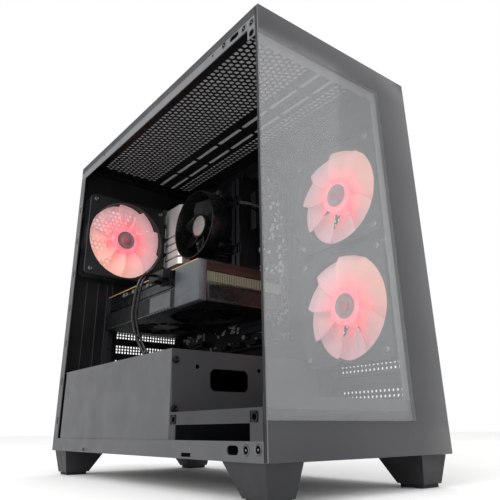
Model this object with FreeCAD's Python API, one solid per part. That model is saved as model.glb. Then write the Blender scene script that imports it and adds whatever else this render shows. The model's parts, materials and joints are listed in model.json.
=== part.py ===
import FreeCAD, Part
import math
import os

# A micro-ATX desktop computer tower with a glass front and its left glass panel taken off.
# Frame: +Z up, +X to the right and +Y to the rear as seen from the glass front. The origin is
# on the surface that the tower stands on, under the middle of its outer box. Millimetres.

V = FreeCAD.Vector

# ---------------------------------------------------------------- driving dimensions: the case
case_width = 216.0
case_depth = 422.0
body_height = 394.0
foot_height = 27.0
sheet = 1.0
glass_thick = 4.0
rear_rim = 4.0
rail_height = 14.0
top_flange = 14.0
top_lip = 6.5
filter_thick = 1.0
tray_inset = 28.0
fan_plate_inset = 16.0
slip = 0.15
running = 0.05

# The window in the front frame, measured in from the case's outer faces.
window_right_inset = 48.5
window_top_inset = 29.5
window_base_inset = 27.5
pillar_depth = 10.0

# The raised platform behind the glass.
platform_length = 129.0
platform_height = 36.5
platform_rail = 10.5
platform_leg = 10.5
platform_leg_front = 15.0
platform_upstand = 8.5

# The shroud over the power supply.
shroud_rear_gap = 16.0
shroud_window = (44.0, 90.0, 56.0, 76.5)
shroud_cable_slot = (166.0, 204.0, 205.0, 265.0)
shroud_clearance = 1.5

# Feet.
foot_long = 51.0
foot_wide = 36.0
foot_slant = 18.0
foot_taper = 5.0
foot_edge = 2.0
pad_thick = 3.0
pad_inset = 2.0

# Fans of the case.
fan_size = 120.0
fan_depth = 25.0
fan_bore = 115.0
fan_screw_gap = 105.0
fan_screw_hole = 4.3
fan_flange = 4.0
fan_duct_wall = 2.0
fan_corner = 7.0
fan_stack_gap = 9.0
fan_blades = 9
side_fan_front_inset = 80.0
side_fan_top_drop = 121.0
rear_fan_left_inset = 66.5
rear_fan_top_drop = 109.0

# Motherboard and what stands on it.
board_size = 244.0
board_thick = 1.6
board_gap = 3.0
board_top_drop = 31.0
standoff = 6.4
slot_first_drop = 172.7
slot_pitch = 20.32
slot_count = 5
slot_opening = 13.0
slot_length = 106.0
cover_width = 18.4
ram_offsets = (178.0, 188.0)
ram_length = 133.4
ram_height = 30.0
ram_socket = 8.0
ram_top_drop = 20.0
cooler_rear = 123.0
cooler_drop = 73.5
cooler_radius = 49.0
cooler_fan_depth = 28.0
sink_depth = 22.0
sink_radius = 44.0
sink_fins = 40
socket_size = 45.0
socket_height = 8.0

# Graphics card.
gpu_length = 251.0
gpu_width = 120.0
gpu_board_drop = 6.2
gpu_shroud_low = 46.5
gpu_shroud_band = 22.0
gpu_wall = 2.0
gpu_fan_size = 89.0
gpu_fan_rears = (79.0, 179.0)
gpu_fin_gap = 4.0
gpu_fin_thick = 1.0
gpu_rear_gap = 16.0
gpu_block_length = 51.0
gpu_block_width = 14.0

# Power supply.
psu_width = 150.0
psu_height = 86.0
psu_length = 140.0
psu_gap = 8.0
psu_pad = 3.0
psu_fan_bore = 116.0
inlet_size = (27.0, 20.0)
switch_width = 13.0

# Controls on the top, right-hand side.
io_strip_width = 18.0
io_strip_length = 112.0
io_strip_right_inset = 12.0
io_strip_front_inset = 19.0
io_strip_height = 12.0
button_radius = 7.0
reset_radius = 3.0
button_step = 20.0
button_travel_room = 2.0

# Cables: the corners of each route, x from the tray's face and y from the rear wall's inner face.
# The upper corners have z from the body's top, the lower ones from its base.
gpu_cable_diameter = 7.0
gpu_cable_upper = ((-154.0, -181.0, -205.0), (-166.0, -181.0, -205.0), (-174.0, -182.0, -215.0),
                   (-174.0, -174.0, -237.0), (-170.0, -164.0, -255.0))
gpu_cable_lower = ((-163.0, -166.0, 116.0), (-158.0, -182.0, 93.0), (-152.0, -198.0, 73.0),
                   (-146.0, -200.0, 49.0), (-136.0, -188.0, 27.0), (-126.0, -164.0, 21.0),
                   (-126.0, -140.0, 21.0))
atx_cable_diameter = 7.0
atx_cable_upper = ((-32.0, -217.0, -103.0), (-60.0, -217.0, -103.0), (-74.0, -240.0, -111.0),
                   (-58.0, -262.0, -121.0), (-28.0, -264.0, -135.0), (2.0, -263.0, -153.0),
                   (15.0, -262.0, -185.0))
atx_cable_lower = ((15.0, -258.0, 167.0), (15.0, -252.0, 125.0), (14.0, -240.0, 85.0),
                   (-2.0, -220.0, 57.0), (-22.0, -192.0, 43.0), (-36.0, -168.0, 47.0),
                   (-36.0, -140.0, 47.0))

# ------------------------------------------------------------------------------ planes in the frame
left = -case_width / 2
right = case_width / 2
front = -case_depth / 2
rear = case_depth / 2
base = foot_height
top = base + body_height
floor_top = base + sheet
glass_back = front + glass_thick
frame_back = glass_back + sheet
wall_out = rear - rear_rim
wall_in = wall_out - sheet
panel_in = right - sheet
left_in = left + sheet
cover_top = top - filter_thick
cover_low = cover_top - top_lip + filter_thick
tray_face = right - tray_inset
fan_plate = right - fan_plate_inset
rail_top = base + rail_height
side_fan_y = front + side_fan_front_inset
tray_front = side_fan_y + fan_size / 2 + 5 * sheet
io_strip_x = (right - io_strip_right_inset - io_strip_width, right - io_strip_right_inset)
io_strip_y = (front + io_strip_front_inset, front + io_strip_front_inset + io_strip_length)
io_low = cover_top - io_strip_height
board_back = tray_face - standoff
board_face = board_back - board_thick
board_rear = wall_in - board_gap
board_front = board_rear - board_size
board_top = top - board_top_drop
board_low = board_top - board_size
platform_top = base + platform_height
platform_rear = glass_back + platform_length + sheet
shroud_front = platform_rear + 2 * sheet
psu_low = floor_top + psu_pad
psu_top = psu_low + psu_height
shroud_top = psu_top + shroud_clearance + sheet
psu_right = tray_face - psu_gap
psu_left = psu_right - psu_width
psu_front = wall_in - psu_length
slot_z = [board_top - slot_first_drop - slot_pitch * k for k in range(slot_count)]
slot_x = (board_face - 112.0, board_face - 112.0 + slot_length)
gpu_plane = slot_z[0] + gpu_board_drop
gpu_right = board_face - 12.0
gpu_left = gpu_right - gpu_width
gpu_rear = wall_in - gpu_rear_gap
gpu_front = wall_in - 1.0 - gpu_length
gpu_low = gpu_plane - gpu_shroud_low
gpu_mid = (gpu_left + gpu_right) / 2
cooler_y = board_rear - cooler_rear
cooler_z = board_top - cooler_drop
cooler_face = board_face - socket_height - sink_depth
rear_fan_x = left + rear_fan_left_inset
rear_fan_z = top - rear_fan_top_drop
fan_start = fan_plate - fan_depth
bottom_filter_x = ((psu_left + psu_right) / 2 - 46.0, (psu_left + psu_right) / 2 + 46.0)
bottom_filter_y = (wall_in - 134.0, rear)
filter_low = base - 2.2


# ------------------------------------------------------------------------------ shape helpers
def box(x, y, z):
    """A block between the two values given on each axis."""
    return Part.makeBox(x[1] - x[0], y[1] - y[0], z[1] - z[0], V(x[0], y[0], z[0]))


def about(middle, half):
    """The pair of values half to each side of the middle."""
    return (middle - half, middle + half)


def join(pieces):
    """One solid from pieces that touch, with the seams between flush faces removed."""
    return pieces[0].multiFuse(pieces[1:]).removeSplitter()


def polygon(points):
    corners = [V(u, v, 0) for u, v in points]
    return Part.makePolygon(corners + [corners[0]])


def rect(u, v):
    return polygon(((u[0], v[0]), (u[1], v[0]), (u[1], v[1]), (u[0], v[1])))


def circle(u, v, radius):
    return Part.Wire(Part.makeCircle(radius, V(u, v, 0)))


def hexagon(u, v, radius, turn):
    angles = [math.radians(60 * k + turn) for k in range(6)]
    return polygon([(u + radius * math.cos(a), v + radius * math.sin(a)) for a in angles])


def rounded(u, v, radius):
    """A rectangle with round corners, drawn anticlockwise."""
    edges = []
    centres = ((u[1] - radius, v[0] + radius, -90), (u[1] - radius, v[1] - radius, 0),
               (u[0] + radius, v[1] - radius, 90), (u[0] + radius, v[0] + radius, 180))
    arcs = [Part.makeCircle(radius, V(cu, cv, 0), V(0, 0, 1), a, a + 90) for cu, cv, a in centres]
    for k, arc in enumerate(arcs):
        edges.append(arc)
        gap_from = arc.Vertexes[1].Point
        gap_to = arcs[(k + 1) % 4].Vertexes[0].Point
        if gap_from.distanceToPoint(gap_to) > 1e-4:
            edges.append(Part.makeLine(gap_from, gap_to))
    return Part.Wire(edges)


def stand(shape, normal, level, thick):
    """Turns a sheet drawn on XY so that its normal lies along an axis, its low face at level."""
    turns = {"x": (V(1, 1, 1), 120), "y": (V(1, 0, 0), 90), "z": (V(0, 0, 1), 0)}
    shifts = {"x": V(level, 0, 0), "y": V(0, level + thick, 0), "z": V(0, 0, level)}
    axis, angle = turns[normal]
    shape.Placement = FreeCAD.Placement(shifts[normal], FreeCAD.Rotation(axis, angle))
    return shape


def panel(normal, level, thick, outline, holes=()):
    """A flat sheet: outline and holes are wires on (y, z), (x, z) or (x, y), by its normal."""
    face = Part.Face([outline] + [hole.reversed() for hole in holes])
    return stand(face.extrude(V(0, 0, thick)), normal, level, thick)


def plate(normal, level, thick, u, v, holes=()):
    return panel(normal, level, thick, rect(u, v), holes)


def loft(low, high, z):
    """A tapered block: low and high are (x pair, y pair) rectangles at the two heights z."""
    wires = []
    for (x, y), level in ((low, z[0]), (high, z[1])):
        wire = rect(x, y)
        wire.translate(V(0, 0, level))
        wires.append(wire)
    return Part.makeLoft(wires, True, True)


def grid(u, v, pitch, radius):
    """Round holes on a square grid that fills the field u by v."""
    across = int((u[1] - u[0]) / pitch) + 1
    along = int((v[1] - v[0]) / pitch) + 1
    return [circle(u[0] + pitch * i, v[0] + pitch * j, radius)
            for i in range(across) for j in range(along)]


def place(shape, centre, normal):
    """Moves a shape drawn about the origin, axis on Z, to centre with its axis along +normal."""
    turns = {"x": (V(1, 1, 1), 120), "y": (V(1, 1, 1), 240), "z": (V(0, 0, 1), 0)}
    axis, angle = turns[normal]
    moved = shape.copy()
    moved.Placement = FreeCAD.Placement(V(*centre), FreeCAD.Rotation(axis, angle))
    return moved


# ------------------------------------------------------------------------------ fans
def blade(inner, outer, depth, chord, count_offset, pitch=34.0):
    """One twisted blade between two radii, trimmed to round ends, at its turn about Z."""
    sections = []
    for radius, twist in ((inner - 2.0, pitch + 12.0), (outer + 4.0, pitch - 6.0)):
        angle = math.radians(twist)
        along = V(0, math.cos(angle), math.sin(angle)) * (chord * (0.55 + 0.45 * radius / outer) / 2)
        across = V(0, -math.sin(angle), math.cos(angle)) * 0.8
        centre = V(radius, 0, depth / 2)
        corners = [centre - along - across, centre + along - across,
                   centre + along + across, centre - along + across]
        sections.append(Part.makePolygon(corners + [corners[0]]))
    solid = Part.makeLoft(sections, True, True)
    ring = Part.makeCylinder(outer, depth)
    solid = solid.common(ring)
    solid.rotate(V(0, 0, 0), V(0, 0, 1), count_offset)
    return solid


def rotor(hub, tip, depth, blades, bore, chord):
    """Hub cup with its blades and a blind bore for the shaft, drawn from z 0 to depth."""
    pieces = [Part.makeCylinder(hub, depth)]
    pieces += [blade(hub, tip, depth, chord, 360.0 * k / blades) for k in range(blades)]
    body = join(pieces)
    return body.cut(Part.makeCylinder(bore + running, depth - 2.0, V(0, 0, 2.0)))


fan_hub = 20.5
fan_shaft = 1.5
fan_tip_gap = 1.2
rotor_start = 2.5
rotor_depth = 18.5


def fan_frame():
    """Square frame with two flanges, a round duct, four arms and a motor seat with its shaft."""
    half = fan_size / 2
    screw = fan_screw_gap / 2 * fan_size / 120.0
    holes = [circle(u, v, fan_screw_hole / 2) for u in (-screw, screw) for v in (-screw, screw)]
    bore = fan_bore * fan_size / 120.0 / 2
    outline = (-half, half)
    pieces = []
    for level in (0.0, fan_depth - fan_flange):
        wires = [circle(0, 0, bore)] + holes
        pieces.append(panel("z", level, fan_flange, rounded(outline, outline, fan_corner), wires))
    duct = Part.makeCylinder(bore + fan_duct_wall, fan_depth)
    pieces.append(duct.cut(Part.makeCylinder(bore, fan_depth)))
    seat = fan_depth - 3.0
    pieces.append(Part.makeCylinder(fan_hub + 1.0, 3.0, V(0, 0, seat)))
    for angle in (20, 110, 200, 290):
        arm = Part.makeBox(bore + fan_duct_wall / 2 - fan_hub, 4.0, 3.0, V(fan_hub, -2.0, seat))
        arm.rotate(V(0, 0, 0), V(0, 0, 1), angle)
        pieces.append(arm)
    shaft = Part.makeCylinder(fan_shaft, seat - rotor_start - 4.0, V(0, 0, rotor_start + 4.0))
    return join(pieces + [shaft])


def fan_rotor():
    tip = fan_bore * fan_size / 120.0 / 2 - fan_tip_gap
    body = rotor(fan_hub, tip, rotor_depth, fan_blades, fan_shaft, 36.0)
    body.translate(V(0, 0, rotor_start))
    return body


# ------------------------------------------------------------------------------ steel of the case
socket_radius = 4.0
socket_bore = 2.4
socket_depth = 5.0
rail_sockets = ((25.0, 8.0), (11.0, 8.6))
flange_sockets = ((54.0, 13.0), (21.5, 15.0), (9.8, 15.8))
tab_socket = (10.0, 28.0)
platform_sockets = ((15.0, 6.2), (127.0, 6.2))


def base_pan():
    """Floor of the case: vents, a rail along each side and the guides of the lower filter."""
    middle = (psu_left + psu_right) / 2
    vents = grid((middle - 49.0, middle + 49.0), (wall_in - 122.0, wall_in - 20.0), 8.5, 3.2)
    pan = plate("z", base, sheet, (left, panel_in), (frame_back, rear), vents)
    holes = [circle(front + y, base + z, socket_radius) for y, z in rail_sockets]
    holes.append(rounded((front + 34.0, front + 48.0), (base + 4.5, base + 11.0), 3.0))
    holes += [rect((y - 7.5, y + 7.5), (floor_top + 0.5, floor_top + 3.5)) for y in (-105.5, 105.5)]
    left_rail = plate("x", left, sheet, (frame_back, rear), (floor_top, rail_top), holes)
    right_rail = plate("x", panel_in - sheet, sheet, (frame_back, wall_in), (floor_top, rail_top))
    guides = []
    for side, x in ((-1, bottom_filter_x[0]), (1, bottom_filter_x[1])):
        web = sorted((x + side * 0.3, x + side * 2.3))
        ledge = sorted((x - side * 2.5, x + side * 2.3))
        y = (bottom_filter_y[0], rear - 4.0)
        guides.append(box(web, y, (filter_low - 1.6, base)))
        guides.append(box(ledge, y, (filter_low - 1.6, filter_low - slip)))
    return join([pan, left_rail, right_rail] + guides)


def rear_panel():
    """Rear wall with the fan grille, the port and slot openings, and the left rear pillar."""
    holes = []
    radius = fan_size / 2 - 3.0
    pitch, row = 6.9, 6.0
    for j in range(-10, 11):
        for i in range(-10, 11):
            u = pitch * (i + 0.5 * (j % 2))
            v = row * j
            if fan_hub - 3.0 < math.hypot(u, v) < radius - 3.0:
                holes.append(hexagon(rear_fan_x + u, rear_fan_z + v, 3.2, 90))
    for u in (-1, 1):
        for v in (-1, 1):
            reach = fan_screw_gap / 2 * fan_size / 120.0
            holes.append(circle(rear_fan_x + u * reach, rear_fan_z + v * reach, 2.2))
    holes.append(rounded(io_opening[0], io_opening[1], 2.0))
    for z in slot_z:
        holes.append(rounded(slot_x, (z - slot_opening / 2, z + slot_opening / 2), 1.0))
    holes.append(rounded((psu_left + 3.0, psu_right - 3.0), (psu_low + 2.5, psu_top - 2.5), 4.0))
    wall = plate("y", wall_in, sheet, (left_in, panel_in), (floor_top, cover_low - sheet), holes)
    slits = []
    for k in range(7):
        z = rail_top + 16.0 + 48.0 * k
        slits.append(rect((wall_in - 5.0, wall_in - 2.0), (z, z + 9.0)))
    pillar = plate("x", left, sheet, (rear - 14.0, rear), (rail_top, cover_low - top_flange), slits)
    return join([wall, pillar])


io_opening = ((board_face - 42.5, board_face + 2.0), (board_top - 162.0, board_top - 3.3))


def io_shield():
    """Pressed plate that fills the port opening, with a hole for each group of ports."""
    (x0, x1), (z0, z1) = io_opening
    holes = [rect((x0 + 6.0, x1 - 5.0), (z0 + a, z0 + b)) for a, b in port_groups]
    outline = rounded((x0 + slip, x1 - slip), (z0 + slip, z1 - slip), 2.0)
    return panel("y", wall_in, sheet, outline, holes)


port_groups = ((8.0, 30.0), (38.0, 54.0), (62.0, 78.0), (86.0, 102.0), (110.0, 126.0), (134.0, 150.0))


def io_ports():
    """The port blocks on the board's rear edge, one behind each hole of the shield."""
    (x0, x1), (z0, z1) = io_opening
    pieces = []
    for a, b in port_groups:
        z = (z0 + a + 0.5, z0 + b - 0.5)
        shell = box((x0 + 6.5, x1 - 5.5), (board_rear - 9.0, wall_out), z)
        block = join([shell, box((x1 - 5.5, board_face), (board_rear - 9.0, wall_in - 2 * slip), z)])
        mouth = box((x0 + 8.5, x0 + 22.0), (wall_out - 3.0, wall_out), (z0 + a + 3.0, z0 + b - 3.0))
        pieces.append(block.cut(mouth))
    return Part.makeCompound(pieces)


def motherboard_tray():
    """Steel wall behind the board, stepped forward of the fans, with its cable cut-outs."""
    upper = rounded((tray_front + 2.0, board_front - 2.0), (board_low + 90.0, board_low + 204.0), 4.0)
    lower = rounded((board_front + 6.0, board_front + 76.0), (base + 33.0, base + 83.0), 8.0)
    cpu_window = rounded((cooler_y - 50.0, cooler_y + 50.0), (cooler_z - 40.0, cooler_z + 40.0), 6.0)
    wall = plate("x", tray_face, sheet, (tray_front, wall_in), (floor_top, cover_low - sheet),
                 [upper, lower, cpu_window])
    step = plate("y", tray_front, sheet, (tray_face, fan_plate + sheet), (floor_top, cover_low - sheet))
    return join([wall, step])


fan_opening_half = 47.0
side_fan_z = [top - side_fan_top_drop, top - side_fan_top_drop - fan_size - fan_stack_gap]


def fan_bracket():
    """Plate behind the two side fans, with one tall opening and slots for the fan screws."""
    holes = [rounded((side_fan_y - fan_opening_half, side_fan_y + fan_opening_half),
                     (base + 30.0, side_fan_z[0] + fan_size / 2 + 2.0), 6.0)]
    reach = fan_screw_gap / 2 * fan_size / 120.0
    for z in side_fan_z:
        for u in (-1, 1):
            for v in (-1, 1):
                y = side_fan_y + u * reach
                holes.append(rounded((y - 2.2, y + 2.2), (z + v * reach - 7.0, z + v * reach + 7.0), 2.19))
    wall = plate("x", fan_plate, sheet, (frame_back, tray_front), (floor_top, io_low - sheet), holes)
    ridges = [box((fan_plate - 3.0, fan_plate), (side_fan_y - 40.0, side_fan_y + 40.0), (z, z + 2.0))
              for z in (side_fan_z[0] + fan_size / 2 + 12.0, side_fan_z[0] + fan_size / 2 + 18.0)]
    return join([wall] + ridges)


def top_frame():
    """Ring under the top cover, with a flange down each side that carries the panel sockets."""
    opening = rounded((left + 13.0, left + 181.0), (frame_back + 14.0, wall_in - 16.0), 4.0)
    strip = rect((io_strip_x[0] - sheet, io_strip_x[1] + sheet),
                 (io_strip_y[0] - sheet, io_strip_y[1] + sheet))
    ring = plate("z", cover_low - sheet, sheet, (left, panel_in), (frame_back, rear), [opening, strip])
    holes = [circle(front + y, top - z, socket_radius) for y, z in flange_sockets]
    holes.append(rounded((front + 30.0, front + 44.0), (top - 17.0, top - 11.0), 2.5))
    holes.append(circle(front + 74.0, top - 13.0, 1.6))
    holes.append(circle(rear - 80.0, top - 11.0, 1.6))
    low = cover_low - top_flange
    left_flange = plate("x", left, sheet, (frame_back, rear), (low, cover_low - sheet), holes)
    right_flange = plate("x", panel_in - sheet, sheet, (frame_back, wall_in), (low, cover_low - sheet))
    tab_hole = circle(front + tab_socket[0], top - tab_socket[1], socket_radius)
    tab = plate("x", left, sheet, (frame_back, frame_back + 11.0), (top - 33.0, low), [tab_hole])
    return join([ring, left_flange, right_flange, tab])


hex_pitch = 7.3
hex_across = 5.3
hex_field = 183.0
slot_row_pitch = 54.6


def top_panel():
    """Perforated top cover: a honeycomb field, two rows of slots and a narrow honeycomb strip."""
    radius = hex_across / math.sqrt(3)
    columns = [(left + 26.0 + 6.5 * k, k) for k in range(13)]
    columns += [(left + 154.5 + 7.0 * k, k) for k in range(3)]
    holes = []
    for u, k in columns:
        shift = hex_pitch / 2 if k % 2 else 0.0
        rows = int(2 * hex_field / hex_pitch)
        for j in range(rows):
            holes.append(hexagon(u, -hex_field + hex_pitch * j + hex_pitch / 2 + shift, radius, 0))
    for u in (left + 121.5, left + 142.3):
        for k in range(7):
            middle = slot_row_pitch * (k - 3)
            holes.append(rounded((u - 2.9, u + 2.9), (middle - 25.0, middle + 25.0), 2.85))
    holes.append(rect(io_strip_x, io_strip_y))
    cover = plate("z", cover_top - sheet, sheet, (left, panel_in), (glass_back, rear), holes)
    lips = [box((left, left_in), (glass_back, rear), (cover_low, cover_top - sheet)),
            box((panel_in - sheet, panel_in), (glass_back, rear), (cover_low, cover_top - sheet)),
            box((left_in, panel_in - sheet), (rear - sheet, rear), (cover_low, cover_top - sheet))]
    return join([cover] + lips)


filter_border = 8.0
mesh_thick = 0.4


def dust_filter(x, y, low, thick):
    """A thin plastic frame with a woven screen drawn as a thin sheet."""
    whole = panel("z", low, thick, rounded(x, y, 4.0))
    inner_x = (x[0] + filter_border, x[1] - filter_border)
    inner_y = (y[0] + filter_border, y[1] - filter_border)
    pocket = panel("z", low + mesh_thick, thick, rounded(inner_x, inner_y, 3.0))
    return whole.cut(pocket)


def front_frame():
    """Steel frame glued behind the glass: top beam, right pillar and bottom beam."""
    window = ((left_in, right - window_right_inset), (base + window_base_inset, top - window_top_inset))
    outline = polygon(((left_in, base), (panel_in, base), (panel_in, top - top_lip),
                       (left_in, top - top_lip), (left_in, window[1][1]), (window[0][1], window[1][1]),
                       (window[0][1], window[1][0]), (left_in, window[1][0])))
    face = panel("y", glass_back, sheet, outline)
    pillar_x = fan_plate - fan_depth - sheet
    pillar = box((pillar_x - sheet, pillar_x), (frame_back, frame_back + pillar_depth),
                 (platform_top, cover_low - sheet))
    beam = box((left_in + socket_depth + sheet, pillar_x), (frame_back, frame_back + pillar_depth),
               (window[1][1], window[1][1] + sheet))
    return join([face, pillar, beam])


def front_glass():
    """Tempered pane over the whole front, its long edges ground to a small chamfer."""
    pane = box((left, right), (front, glass_back), (base, top))
    edges = [e for e in pane.Edges if abs(e.CenterOfMass.y - front) < 1e-6]
    return pane.makeChamfer(0.8, edges)


def psu_shroud():
    """Bent cover over the power supply: side, top and front walls."""
    x_in = left_in + sheet
    side = plate("x", left_in, sheet, (shroud_front, rear - shroud_rear_gap - 5.0), (floor_top, shroud_top))
    slot = (right - shroud_cable_slot[1], right - shroud_cable_slot[0])
    cable = rounded(slot, (front + shroud_cable_slot[2], front + shroud_cable_slot[3]), 8.0)
    vents = [rounded((x, x + 4.0), (psu_front + 20.0, psu_front + 100.0), 1.9)
             for x in range(int(psu_left) + 20, int(psu_right) - 16, 12)]
    cover = plate("z", shroud_top - sheet, sheet, (x_in, tray_face), (shroud_front, wall_in), [cable] + vents)
    window = rounded((left + shroud_window[0], left + shroud_window[1]),
                     (base + shroud_window[2], base + shroud_window[3]), 6.0)
    marks = [circle(left + a, base + b, r) for a, b, r in
             ((29.5, 77.3, 2.2), (104.1, 77.6, 2.2), (5.5, 82.5, 1.7), (5.4, 40.0, 1.7))]
    face = plate("y", shroud_front, sheet, (x_in, tray_face), (floor_top, shroud_top - sheet),
                 [window] + marks)
    fan_low = side_fan_z[1] - fan_size / 2
    fan_room = box((fan_start - sheet, right), (front, tray_front), (fan_low - sheet, top))
    return join([side, cover, face]).cut(fan_room)


def front_platform():
    """Raised floor behind the glass, open underneath, on a leg at each end."""
    y = (frame_back, platform_rear)
    deck = plate("z", platform_top - sheet, sheet, (left, fan_plate), y)
    windows = [rect((front + a - 5.0, front + a + 5.0), (platform_top - b - 3.9, platform_top - b + 4.2))
               for a, b in platform_sockets]
    low = platform_top - platform_rail
    rail = plate("x", left, sheet, y, (low, platform_top - sheet), windows)
    backs = [plate("x", left_in, sheet, (front + a - 7.0, front + a + 7.0), (low, platform_top - sheet),
                   [circle(front + a, platform_top - b, socket_radius)]) for a, b in platform_sockets]
    legs = [box((left, left_in), (y[0], y[0] + platform_leg_front), (rail_top, low)),
            box((left, left_in), (y[1] - platform_leg, y[1]), (rail_top, low))]
    inner = box((tray_face - sheet, tray_face), y, (floor_top, platform_top - sheet))
    upstand = box((left_in, fan_plate - fan_depth - 4 * sheet), (y[0], y[0] + sheet),
                  (platform_top, platform_top + platform_upstand))
    return join([deck, rail] + backs + legs + [inner, upstand])


def panel_sockets():
    """Round plastic sockets that hold the ball studs of the side glass."""
    places = [(front + y, base + z) for y, z in rail_sockets]
    places += [(front + y, top - z) for y, z in flange_sockets]
    places.append((front + tab_socket[0], top - tab_socket[1]))
    places += [(front + a, platform_top - b) for a, b in platform_sockets]
    rings = []
    for y, z in places:
        ring = Part.makeCylinder(socket_radius - slip, socket_depth, V(left, y, z), V(1, 0, 0))
        rings.append(ring.cut(Part.makeCylinder(socket_bore, socket_depth - 1.0, V(left, y, z), V(1, 0, 0))))
    return Part.makeCompound(rings)


def foot_pair(side):
    """Front and rear foot of one side: side is -1 for the left and 1 for the right."""
    outer = case_width / 2 - foot_edge
    feet = []
    pads = []
    sizes = ((foot_wide, foot_long, front + 6.0, 1, False), (foot_long, foot_wide, rear - 6.0, -1, True))
    for wide, long, y0, way, turned in sizes:
        slant_x = foot_slant if turned else foot_taper
        slant_y = foot_taper if turned else foot_slant
        x_top = sorted((side * outer, side * (outer - wide)))
        x_low = sorted((side * (outer - foot_taper), side * (outer - wide + slant_x)))
        y_top = sorted((y0, y0 + way * long))
        y_low = sorted((y0 + way * foot_taper, y0 + way * (long - slant_y)))
        feet.append(loft((x_low, y_low), (x_top, y_top), (pad_thick, base)))
        pads.append(box((x_low[0] + pad_inset, x_low[1] - pad_inset),
                        (y_low[0] + pad_inset, y_low[1] - pad_inset), (0.0, pad_thick)))
    return feet, pads


def right_side_panel():
    """Steel side cover with a field of round vents beside the side fans and a hooked rear edge."""
    field_y = (side_fan_y - fan_opening_half + 2.0, side_fan_y + fan_opening_half - 1.0)
    field_z = (base + 31.0, side_fan_z[0] + fan_size / 2)
    vents = grid(field_y, field_z, 5.5, 1.4)
    cover = plate("x", panel_in, sheet, (glass_back, rear), (base, cover_top), vents)
    bores = [circle(panel_in - 5.5, z, 1.6) for z in thumb_z]
    flange = plate("y", wall_out + slip, sheet, (panel_in - 11.0, panel_in),
                   (rail_top, cover_low - top_flange), bores)
    return join([cover, flange])


thumb_z = (base + 50.0, top - 60.0)


def panel_thumbscrews():
    """Two captive thumbscrews in the side cover's rear flange."""
    screws = []
    for z in thumb_z:
        y = wall_out + slip
        head = Part.makeCylinder(4.5, rear - y - sheet - slip, V(panel_in - 5.5, y + sheet, z), V(0, 1, 0))
        shank = Part.makeCylinder(1.6 - running, sheet, V(panel_in - 5.5, y, z), V(0, 1, 0))
        screws.append(head.fuse(shank))
    return Part.makeCompound(screws)


def slot_covers():
    """Perforated blanks over the unused expansion slots."""
    covers = []
    for z in slot_z[2:]:
        holes = [circle(slot_x[0] + 6.0 + 4.4 * i, z + 4.0 * j, 1.5) for i in range(22) for j in (-1, 0, 1)]
        covers.append(plate("y", wall_in - sheet, sheet, (slot_x[0] - 6.0, slot_x[1] + 5.0),
                            (z - cover_width / 2, z + cover_width / 2), holes))
    return Part.makeCompound(covers)


def slot_retainer():
    """Bar along the outer ends of the slots, with a screw head over each slot."""
    x = (slot_x[0] - 14.0, slot_x[0] - 6.5)
    bar = box(x, (wall_in - 12.0, wall_in), (slot_z[-1] - 11.0, slot_z[0] + 11.0))
    heads = [Part.makeCylinder(3.2, 2.4, V((x[0] + x[1]) / 2, wall_in - 14.4, z), V(0, 1, 0)) for z in slot_z]
    return join([bar] + heads)


# ------------------------------------------------------------------------------ board and cooling
def motherboard():
    """The board, with the nine holes of its standoffs."""
    holes = [circle(y, z, 2.0) for y, z in standoff_places]
    return plate("x", board_face, board_thick, (board_front, board_rear), (board_low, board_top), holes)


standoff_places = [(board_rear - a, board_top - b) for a in (10.2, 165.1, 237.5) for b in (6.4, 163.8, 237.5)]


def board_standoffs():
    posts = []
    for y, z in standoff_places:
        post = Part.makeCylinder(3.0, standoff, V(board_back, y, z), V(1, 0, 0))
        screw = Part.makeCylinder(1.6, board_thick, V(board_face, y, z), V(1, 0, 0))
        head = Part.makeCylinder(3.3, 2.0, V(board_face - 2.0, y, z), V(1, 0, 0))
        posts.append(join([post, screw, head]))
    return Part.makeCompound(posts)


def cpu_socket():
    half = socket_size / 2
    return box((board_face - socket_height, board_face), (cooler_y - half, cooler_y + half),
               (cooler_z - half, cooler_z + half))


def cpu_heatsink():
    """Round core with straight radial fins, drawn as one toothed outline."""
    core = 15.0
    half = 0.7
    points = []
    for k in range(sink_fins):
        turn = 2 * math.pi * k / sink_fins
        for radius, side in ((core, -half), (sink_radius, -half), (sink_radius, half), (core, half)):
            reach = math.sqrt(radius * radius - half * half)
            points.append((reach * math.cos(turn) - side * math.sin(turn),
                           reach * math.sin(turn) + side * math.cos(turn)))
    fins = panel("z", 0.0, sink_depth, polygon(points))
    motor = Part.makeCylinder(15.0, 3.0, V(0, 0, -3.0))
    shaft = Part.makeCylinder(fan_shaft, 10.0, V(0, 0, -12.0))
    return place(join([fins, motor, shaft]), (cooler_face, cooler_y, cooler_z), "x")


def cpu_fan_shroud():
    """Ring round the cooler's fan on four legs that reach the board."""
    wall = 3.0
    ring = Part.makeCylinder(cooler_radius, cooler_fan_depth).cut(
        Part.makeCylinder(cooler_radius - wall, cooler_fan_depth))
    pieces = [ring]
    drop = sink_depth + socket_height
    for angle in (45, 135, 225, 315):
        turn = math.radians(angle)
        reach = cooler_radius + 1.5
        u, v = reach * math.cos(turn), reach * math.sin(turn)
        pieces.append(Part.makeCylinder(4.0, drop + cooler_fan_depth / 2, V(u, v, cooler_fan_depth / 2)))
    body = join(pieces)
    return place(body, (cooler_face - cooler_fan_depth, cooler_y, cooler_z), "x")


def cpu_fan_rotor():
    depth = cooler_fan_depth - 8.0
    body = rotor(17.0, cooler_radius - 4.2, depth, 7, fan_shaft, 34.0)
    return place(body, (cooler_face - depth - 3.6, cooler_y, cooler_z), "x")


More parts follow.
